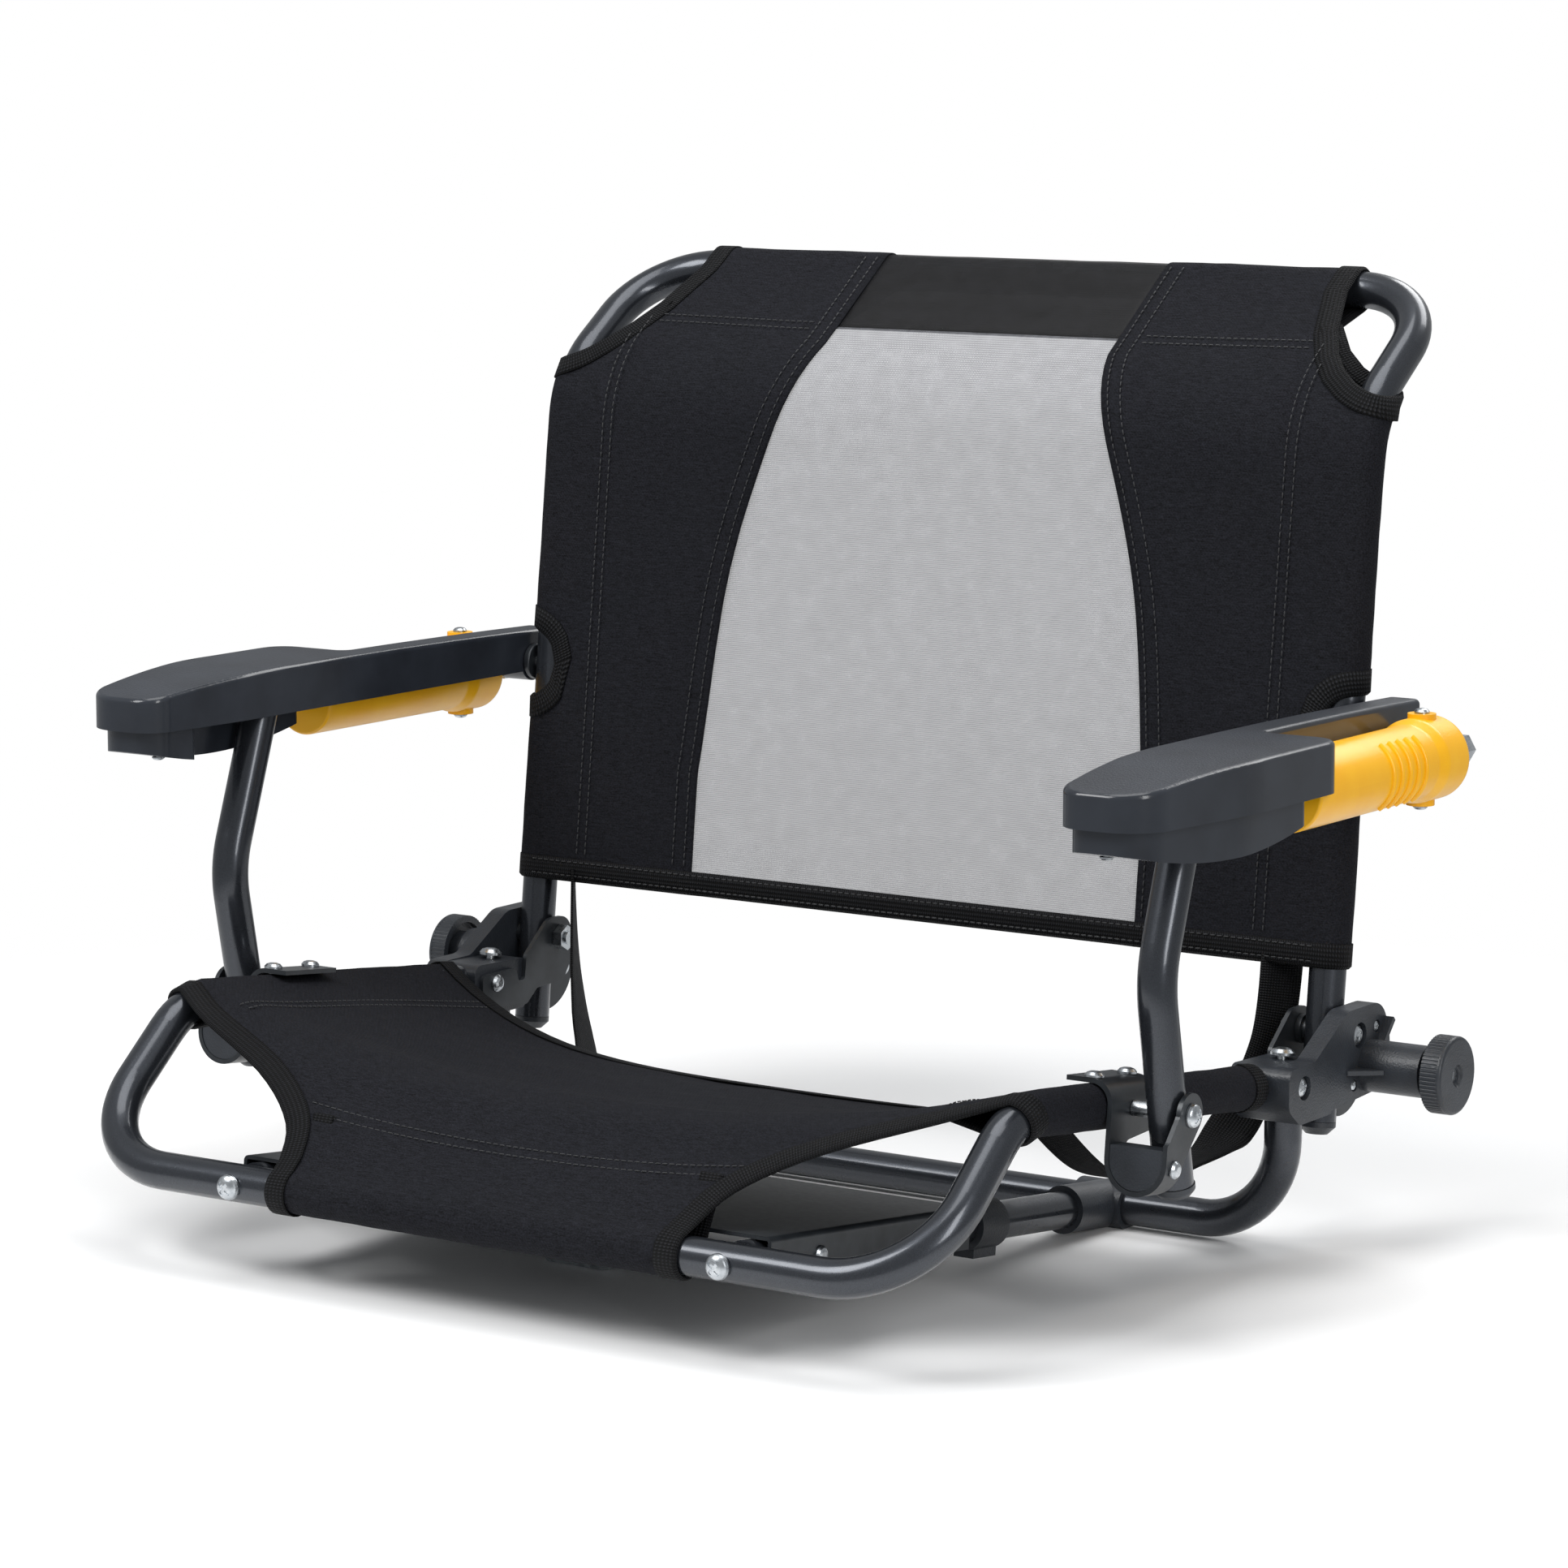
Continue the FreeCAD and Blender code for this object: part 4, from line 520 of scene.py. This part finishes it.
def panel_out(x, length):
    """How far the cloth stands forward of the frame's middle: full at the tubes, less between them."""
    slack = 0.0014 * max(0.0, min(1.0, (PANEL_X - x) / 0.09))
    return SLEEVE_R - slack * max(0.0, min(1.0, (back_line.length - length) / 0.06))


def spaced(low, high, count):
    return [low + (high - low) * step / (count - 1) for step in range(count)]


def corner_length(x, out):
    height = CORNER_Z - math.sqrt(max(CORNER_R ** 2 - (CORNER_X - x) ** 2, 0))
    return back_line.length_at_height(height, out)


def notch_length(x, out, way):
    height = NOTCH_Z + way * math.sqrt(max(NOTCH_R ** 2 - (NOTCH_X - x) ** 2, 0))
    return back_line.length_at_height(height, out)


LOW_ROWS, HIGH_ROWS = 22, 34


def column_lengths(x, out):
    """Lengths along the back's line at which one upright column of cloth has its points."""
    split_low = notch_length(x, out, -1)
    split_high = notch_length(x, out, 1)
    return spaced(0, split_low, LOW_ROWS), spaced(split_high, corner_length(x, out), HIGH_ROWS)


def by_rows(columns):
    return [list(row) for row in zip(*columns)]


def upright_blocks():
    """Grids of one side's cloth, and the edges that get a tape."""
    sleeve = [(RAIL_X + across, out) for across, out in around_tube(RAIL_X - SEAM_X, 0.0085)]
    leave = sleeve[-1]
    seam = (SEAM_X, 0.0085)

    def rear(x):
        share = (leave[0] - x) / (leave[0] - seam[0])
        return (x, leave[1] + (seam[1] - leave[1]) * share)

    flat = [(x, SLEEVE_R) for x in spaced(NOTCH_EDGE_X, RAIL_X, 4)[:-1]]
    outer = flat + sleeve + [rear(x) for x in spaced(leave[0], NOTCH_EDGE_X, 4)[1:]]
    inner = [(x, SLEEVE_R) for x in spaced(PANEL_X, NOTCH_EDGE_X, 5)]
    behind = [rear(x) for x in spaced(NOTCH_EDGE_X, SEAM_X, 4)]

    def grid(columns, part):
        return by_rows([[back_line.point(x, out, length) for length in column_lengths(x, out)[part]]
                        for x, out in columns])

    blocks = {}
    for name, columns in (("inner", inner), ("outer", outer), ("behind", behind)):
        blocks[name] = [grid(columns, 0), grid(columns, 1)]
    return blocks


def wide_rows():
    """Rows of the middle of the back as (length, forward share): up the front, over the tube, down behind."""
    low, high = column_lengths(PANEL_X, SLEEVE_R)
    rows = [(length, None) for length in low + high[1:]]
    rows += [(length, None) for length in spaced(high[-1], back_line.length, 4)[1:-1]]
    wrap = around_tube(FLAP, 0.0085)
    rows += [(back_line.length + across, out) for across, out in wrap]
    last = rows[-1]
    end = (back_line.length - FLAP, 0.0085)
    rows += [(last[0] + (end[0] - last[0]) * share, last[1] + (end[1] - last[1]) * share)
             for share in spaced(0, 1, 7)[1:]]
    return rows


def middle_grid(left_of, right_of, columns, behind=0.0):
    """A grid between two edges, each given as half widths by row."""
    grid = []
    for length, out in wide_rows():
        place = back_line.point(0, SLEEVE_R, length)
        over = out is not None
        low = left_of(place.z, over)
        high = right_of(place.z, over)
        row = []
        for x in spaced(low, high, columns):
            stand = panel_out(abs(x), length) if out is None else out
            row.append(back_line.point(x, stand - behind, length))
        grid.append(row)
    return grid


def window_edge(height, over):
    return WINDOW_TOP if over else window_half(height)


def panel_edge(height, over):
    return PANEL_X


upright = upright_blocks()
panel = middle_grid(window_edge, panel_edge, 14)
low_edge = len(upright["inner"][0]) + len(upright["inner"][1]) - 2


def edge_of(grid, row, inside):
    return list(zip(grid[row], grid[inside]))


def back_side(side, name):
    """One side of the back: its cloth, the tapes on its cut-outs and its rows of stitches."""
    grids = [panel] + [grid for pair in upright.values() for grid in pair]
    cloth = cloth_piece("back_cloth_" + name, [flipped(grid, side) for grid in grids], "back", fabric,
                        0.0006)
    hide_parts("back_sling")
    corner = [(row[-1], row[-2]) for row in panel[low_edge:]][::-1]
    corner += edge_of(upright["inner"][1], -1, -2)[1:]
    corner += edge_of(upright["outer"][1], -1, -2)[1:]
    corner += edge_of(upright["behind"][1], -1, -2)[1:]
    notch = edge_of(upright["outer"][1], 0, 1)
    notch += edge_of(upright["outer"][0], -1, -2)[::-1][1:-1]
    tapes = [binding("corner_tape_" + name, flipped(corner, side), "back", tape),
             binding("notch_tape_" + name, flipped(notch, side), "back", tape, closed=True)]
    lines = []
    for x in (SEAM_X, SEAM_X + 0.006):
        lengths = spaced(0.013, corner_length(x, SLEEVE_R) - 0.016, 90)
        lines.append([(back_line.point(side * x, SLEEVE_R + CLOTH, length), back_line.normal(length))
                      for length in lengths])
    for inset in (0.0045, 0.0125):
        line = []
        for length in spaced(0.013, back_line.length, 110):
            x = window_half(back_line.point(0, SLEEVE_R, length).z) + inset
            line.append((back_line.point(side * x, panel_out(x, length) + CLOTH, length),
                         back_line.normal(length)))
        lines.append(line)
    for fall in (0.0, 0.006):
        length = back_line.length - FLAP - fall
        half = window_half(back_line.point(0, SLEEVE_R, length).z)
        lines.append([(back_line.point(side * x, panel_out(x, length) + CLOTH, length),
                       back_line.normal(length))
                      for x in spaced(half + 0.014, SEAM_X - 0.004, 30)])
    seams = stitching("back_stitches_" + name, lines, "back", sewing)
    return cloth, tapes + [seams]


def back_pieces():
    for side, name in ((1, "right"), (-1, "left")):
        cloth, trims = back_side(side, name)
    gauze = middle_grid(lambda height, over: -window_edge(height, over) - 0.004,
                        lambda height, over: window_edge(height, over) + 0.004, 25, behind=0.0012)
    split = next(number for number, row in enumerate(gauze) if row[0].z > back_knee[1] + 0.028)
    mesh_window = cloth_piece("back_mesh_window", [gauze[:split + 1]], "back", finishes["mesh"],
                              0.0004)
    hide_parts("back_mesh")
    mesh_sleeve = cloth_piece("back_mesh_sleeve", [gauze[split:]], "back", double_mesh, 0.0003)
    hem_edge = []
    for grid in (upright["behind"][0], upright["outer"][0], upright["inner"][0]):
        hem_edge += edge_of(grid, 0, 1)[::-1][1 if hem_edge else 0:]
    hem_edge += edge_of(panel, 0, 1)[::-1][1:]
    other = [(Vector((-a.x, a.y, a.z)), Vector((-b.x, b.y, b.z))) for a, b in hem_edge[::-1]]
    across = list(zip(gauze[0], gauze[1]))[::-1][1:-1]
    hem_tape = binding("back_hem_tape", hem_edge + across + other, "back", tape)
    rows = []
    for length in (0.0025, 0.0105):
        rows.append([(back_line.point(x, SLEEVE_R + 0.0014, length), back_line.normal(length))
                     for x in spaced(-RAIL_X, RAIL_X, 60)])
    hem_thread = stitching("back_hem_stitches", rows, "back", sewing)


back_pieces()


# Seat: one cloth that hangs between the rails and is sleeved over them and the front tube

def seat_pieces():
    start = next(length for length in spaced(0, rail_line.length, 400)
                 if rail_line.at(length)[0][0] > knee_y)
    crest = rail_line.point(RAIL_X, SLEEVE_R, start)
    low = FRONT_Z + 0.0118
    run = crest.y - FRONT_Y
    shares = (0, 0.285, 0.545, 0.80, 1)
    widen = (0, 0.10, 0.36, 0.79, 1)
    climb = (0, 0.28, 0.56, 0.86, 1)
    hang = (0.02, 0.22, 0.48, 0.75, 1.0)
    columns = spaced(-1, 1, 41)

    def apron(across, share):
        half = FRONT_HALF + (RAIL_X - FRONT_HALF) * smooth_table(share, shares, widen)
        edge = low + (crest.z - low) * smooth_table(share, shares, climb)
        drop = SEAT_SAG * smooth_table(share, shares, hang)
        return Vector((across * half, FRONT_Y + run * share, edge - drop * (1 - abs(across) ** 2.2)))

    def hammock(across, share):
        length = start + (rail_line.length - start) * share
        edge = rail_line.point(across * RAIL_X, SLEEVE_R, length)
        drop = SEAT_SAG * smooth_table(share, (0, 0.11, 0.5, 1), (1.0, 1.2, 1.35, 1.38))
        steep = smooth_table(share, (0, 0.5, 1), (2.2, 2.9, 4.4))
        scoop = 0.024 * (1 - across ** 2) * max(0.0, (share - 0.55) / 0.45) ** 1.5
        return edge - Vector((0, scoop, drop * (1 - abs(across) ** steep)))

    wrap = around_tube(0.030, 0.022, start=math.radians(24), steps=16)
    front = []
    for across in columns:
        x = across * FRONT_HALF
        sleeve = [Vector((x, FRONT_Y - along, FRONT_Z + out)) for along, out in wrap]
        seam = apron(across, 0.030 / run) - Vector((0, 0, 0.0012))
        seam.x = x
        tail = [sleeve[-1].lerp(seam, share) for share in spaced(0, 1, 5)[1:]]
        front.append((sleeve + tail)[::-1])
    front_rows = by_rows(front)
    apron_rows = [[apron(across, share) for across in columns] for share in spaced(0.05, 1, 18)]
    hammock_rows = [[hammock(across, share) for across in columns] for share in spaced(0, 1, 30)]
    top = front_rows + apron_rows + hammock_rows[1:]
    rail_wrap = around_tube(RAIL_X - SEAM_X, -0.0025)
    rail_rows = []
    for share in spaced(0, 1, 30):
        length = start + (rail_line.length - start) * share
        row = [rail_line.point(RAIL_X + across, out, length) for across, out in rail_wrap]
        seam = hammock(SEAM_X / RAIL_X, share) - Vector((0, 0, 0.0014))
        row += [row[-1].lerp(seam, step) for step in spaced(0, 1, 5)[1:]]
        rail_rows.append(row)
    cloth = cloth_piece("seat_cloth", [top, rail_rows, flipped(rail_rows, -1)], "seat", fabric,
                        0.0008)
    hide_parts("seat_sling")
    count = len(front_rows)
    for side, name, edge, inside in ((1, "right", -1, -2), (-1, "left", 0, 1)):
        ring = edge_of(flipped(rail_rows, side), 0, 1)[::-1]
        cut_out = [(row[edge], row[inside]) for row in top[:count + len(apron_rows)]][::-1]
        binding("seat_tape_" + name, ring + cut_out[1:], "seat", tape)
    left_end = edge_of(flipped(rail_rows, -1), -1, -2)[::-1]
    rear = left_end + edge_of(top, -1, -2)[1:-1] + edge_of(rail_rows, -1, -2)
    binding("seat_rear_tape", rear, "seat", tape)
    lines = []
    for share in (0.030 / run, 0.036 / run):
        lines.append([apron(across, share) for across in spaced(-0.86, 0.86, 60)])
    for side in (1, -1):
        for x in (SEAM_X, SEAM_X + 0.006):
            lines.append([hammock(side * x / RAIL_X, share) for share in spaced(0.02, 0.95, 60)])
    threads = []
    for line in lines:
        lifted = []
        for index, point in enumerate(line):
            lifted.append((point + Vector((0, 0, CLOTH * 0.8)), Vector((0, 0, 1))))
        threads.append(lifted)
    stitching("seat_stitches", threads, "seat", sewing)


seat_pieces()


# Webbing straps from the back's hem to the underside of the seat

def ribbon(name, points, ways, width, finish):
    """A strap along a smooth line of points, its width along the way given at each point."""
    curve = bpy.data.curves.new(name + "_line", "CURVE")
    curve.dimensions = "3D"
    curve.resolution_u = 12
    spline = curve.splines.new("NURBS")
    spline.points.add(len(points) - 1)
    for knot, point in zip(spline.points, points):
        knot.co = (*point, 1)
    spline.order_u = 3
    spline.use_endpoint_u = True
    holder = bpy.data.objects.new(name + "_line", curve)
    traced = bpy.data.meshes.new_from_object(holder)
    line = [vert.co.copy() for vert in traced.vertices]
    bpy.data.objects.remove(holder)
    bpy.data.meshes.remove(traced)
    bpy.data.curves.remove(curve)
    mesh = bmesh.new()
    mapping = mesh.loops.layers.uv.new("along")
    rows = []
    run = 0.0
    for index, point in enumerate(line):
        run += (point - line[index - 1]).length if index else 0
        place = index / (len(line) - 1) * (len(ways) - 1)
        number = min(int(place), len(ways) - 2)
        way = ways[number].lerp(ways[number + 1], place - number)
        along = way_along(line, index)
        way = (way - along * way.dot(along)).normalized()
        row = [mesh.verts.new(point + way * width * step) for step in (-0.5, -0.25, 0, 0.25, 0.5)]
        rows.append((run, row))
    for (run_a, low), (run_b, high) in zip(rows, rows[1:]):
        for number in range(4):
            face = mesh.faces.new((low[number], low[number + 1], high[number + 1], high[number]))
            across = number * width / 4
            spots = ((run_a, across), (run_a, across + width / 4),
                     (run_b, across + width / 4), (run_b, across))
            for loop, spot in zip(face.loops, spots):
                loop[mapping].uv = spot
    piece = finish_piece(mesh, name, None, finish)
    thicken(piece, 0.0014)
    return piece, run


def strap_pieces():
    """Each strap hangs from the hem with its width fore and aft, and goes forward under the seat."""
    top = (0.235, hem[0] - 0.003, hem[1] + 0.004)
    routes = {"right": (1, [top, (0.235, 0.137, 0.116), (0.232, 0.122, 0.084), (0.230, 0.092, 0.058),
                            (0.225, 0.050, 0.045), (0.219, -0.010, 0.052), (0.217, -0.046, 0.070),
                            (0.216, -0.078, 0.098)]),
              "left": (-1, [top, (0.226, 0.128, 0.112), (0.207, 0.108, 0.076), (0.188, 0.090, 0.052),
                            (0.172, 0.072, 0.036), (0.160, 0.040, 0.034), (0.152, 0.008, 0.050),
                            (0.150, -0.006, 0.070)])}
    for name, (side, route) in routes.items():
        points = [Vector((side * x, y, z)) for x, y, z in route]
        turns = [(0.56, 0.83, 0), (0.47, 0.88, 0), (0.4, 0.9, 0.1), (0.45, 0.8, 0.3), (0.85, 0.4, 0.3)]
        turns += [(1, 0, 0)] * 3
        ways = [Vector((side * x, y, z)) for x, y, z in turns]
        piece, length = ribbon("restraint_strap_" + name, points, ways, 0.025, tape)
        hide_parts("restraint_straps")
        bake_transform(piece)


strap_pieces()


# Rock springs, drawn as fixed coils; the real ones shorten as the drawbars pull on them

def rock_spring(side):
    """A coil in the place of the solid one, riding on the arm."""
    low, high = [Vector(corner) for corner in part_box("rock_spring_" + side)]
    middle = (low + high) / 2
    wire, turns, steps = 0.002, 8, 28
    radius = (high.x - low.x) / 2 - wire
    last = turns * steps
    mesh = bmesh.new()
    rings = []
    for index in range(last + 1):
        turn = 2 * math.pi * index / steps
        out = Vector((math.cos(turn), 0, math.sin(turn)))
        along = low.y + wire + (high.y - low.y - 2 * wire) * index / last
        centre = Vector((middle.x, along, middle.z)) + out * radius
        rings.append([mesh.verts.new(centre + (out * math.cos(lap) + Vector((0, math.sin(lap), 0))) * wire)
                      for lap in np.linspace(0, 2 * math.pi, 9)[:-1]])
    for first, second in zip(rings, rings[1:]):
        for number in range(8):
            after = (number + 1) % 8
            mesh.faces.new((first[number], first[after], second[after], second[number]))
    mesh.faces.new(rings[0][::-1])
    mesh.faces.new(rings[-1])
    piece = finish_piece(mesh, "rock_coil_" + side, "arm_" + side, finishes["zinc"])
    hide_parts("rock_spring_" + side)
    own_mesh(piece)


for side in ("right", "left"):
    rock_spring(side)


# Cross-recess heads of the screws that show

def screw_head(mesh, place, axis, radius, height, turn):
    """A domed head with a cross recess, as rings of points round its axis."""
    side = axis.orthogonal().normalized()
    up = axis.cross(side)
    slot_half, slot_reach, slot_deep = radius * 0.13, radius * 0.58, height * 0.30
    rings = []
    for share in spaced(0, 1, 15):
        ring = []
        for angle in spaced(0, 2 * math.pi, 65)[:-1]:
            u, v = radius * share * math.cos(angle), radius * share * math.sin(angle)
            level = height * (0.25 + 0.85 * math.sqrt(max(0.0, 1 - share ** 2)))
            arm = min(abs(u), abs(v))
            if arm < slot_half and max(abs(u), abs(v)) < slot_reach:
                level -= slot_deep
            a, b = u * math.cos(turn) - v * math.sin(turn), u * math.sin(turn) + v * math.cos(turn)
            ring.append(mesh.verts.new(place + side * a + up * b + axis * level))
        rings.append(ring)
    rings.append([mesh.verts.new(vert.co - axis * height * 0.25) for vert in rings[-1]])
    for low, high in zip(rings, rings[1:]):
        for number in range(64):
            after = (number + 1) % 64
            mesh.faces.new((low[number], low[after], high[after], high[number]))


def cross_screws():
    mesh = bmesh.new()
    recess_x = 0.2791
    spots = [((recess_x, HINGE_Y, HINGE_Z), (1, 0, 0), 0.0057, 0.0034),
             ((recess_x, HINGE_Y - 0.061, HINGE_Z - 0.018), (1, 0, 0), 0.0057, 0.0032),
             ((0.2816, HINGE_Y + 0.019, HINGE_Z + 0.002), (1, 0, 0), 0.0029, 0.0014),
             ((0.2816, HINGE_Y - 0.006, HINGE_Z - 0.026), (1, 0, 0), 0.0029, 0.0014),
             ((0.3089, POST_PIVOT_Y, HINGE_Z), (1, 0, 0), 0.0062, 0.0038),
             ((0.153, FRONT_Y - 0.0101, FRONT_Z), (0, -1, 0), 0.0067, 0.0044)]
    for (x, y, z), way, radius, height in spots:
        for side in (1, -1):
            axis = Vector((way[0] * side, way[1], way[2]))
            screw_head(mesh, Vector((x * side, y, z)), axis, radius, height, random.uniform(0, 1.5))
    bmesh.ops.remove_doubles(mesh, verts=mesh.verts, dist=0.00002)
    piece = finish_piece(mesh, "cross_screw_heads", "seat", finishes["zinc"])
    piece.data.shade_flat()


cross_screws()


# Floor, light and camera

def floor():
    mesh = bpy.data.meshes.new("floor")
    mesh.from_pydata([(-6, -6, 0), (6, -6, 0), (6, 6, 0), (-6, 6, 0)], [], [(0, 1, 2, 3)])
    piece = bpy.data.objects.new("floor", mesh)
    bpy.context.scene.collection.objects.link(piece)
    finish = Finish("floor")
    finish.colour(finish.noise(3, 2), (0.95, 0.95, 0.95, 1), (0.97, 0.97, 0.97, 1))
    finish.set(Roughness=0.9, Specular_IOR_Level=0.1)
    gap = finish.add("ShaderNodeVectorMath", [("Vector", finish.place.outputs["Object"])], operation="LENGTH")
    fade = finish.add("ShaderNodeMapRange", [("Value", gap.outputs["Value"])], From_Min=0.42, From_Max=0.95,
                      To_Min=1.0, To_Max=0.0)
    finish.tree.links.new(fade.outputs[0], finish.shader.inputs["Alpha"])
    mesh.materials.append(finish.material)


def softbox(name, place, aim, size, power):
    lamp = bpy.data.lights.new(name, "AREA")
    lamp.shape = "RECTANGLE"
    lamp.size, lamp.size_y = size
    lamp.energy = power
    holder = bpy.data.objects.new(name, lamp)
    holder.location = place
    holder.rotation_euler = (Vector(aim) - Vector(place)).to_track_quat("-Z", "Y").to_euler()
    bpy.context.scene.collection.objects.link(holder)


def studio():
    floor()
    world = bpy.data.worlds.new("studio")
    bpy.context.scene.world = world
    world.use_nodes = True
    tree = world.node_tree
    soft = tree.nodes["Background"]
    soft.inputs["Color"].default_value = (0.86, 0.88, 0.90, 1)
    soft.inputs["Strength"].default_value = 0.42
    white = tree.nodes.new("ShaderNodeBackground")
    white.inputs["Color"].default_value = (1, 1, 1, 1)
    path = tree.nodes.new("ShaderNodeLightPath")
    direct = tree.nodes.new("ShaderNodeMath")
    direct.operation = "MAXIMUM"
    blend = tree.nodes.new("ShaderNodeMixShader")
    tree.links.new(path.outputs["Is Camera Ray"], direct.inputs[0])
    tree.links.new(path.outputs["Is Transmission Ray"], direct.inputs[1])
    tree.links.new(direct.outputs[0], blend.inputs["Fac"])
    tree.links.new(soft.outputs[0], blend.inputs[1])
    tree.links.new(white.outputs[0], blend.inputs[2])
    tree.links.new(blend.outputs[0], tree.nodes["World Output"].inputs["Surface"])
    softbox("key", (-0.9, -1.6, 2.0), (0, 0, 0.2), (1.2, 1.2), 38)
    softbox("fill", (2.0, -0.9, 1.1), (0, 0, 0.2), (0.5, 1.6), 18)
    softbox("rim", (0.3, 1.8, 1.7), (0, 0, 0.3), (1.6, 0.8), 18)
    softbox("overhead", (0.1, -0.1, 2.4), (0, 0, 0.2), (1.6, 1.6), 26)
    scene = bpy.context.scene
    scene.view_settings.view_transform = "Standard"
    lens = bpy.data.cameras.new("photo_camera")
    lens.sensor_width = 36
    lens.lens = 121.06
    holder = bpy.data.objects.new("photo_camera", lens)
    holder.location = (1.5650, -2.3104, 0.6605)
    holder.rotation_euler = (math.radians(90 - 8.578), 0, math.radians(33.975))
    scene.collection.objects.link(holder)
    scene.camera = holder


studio()
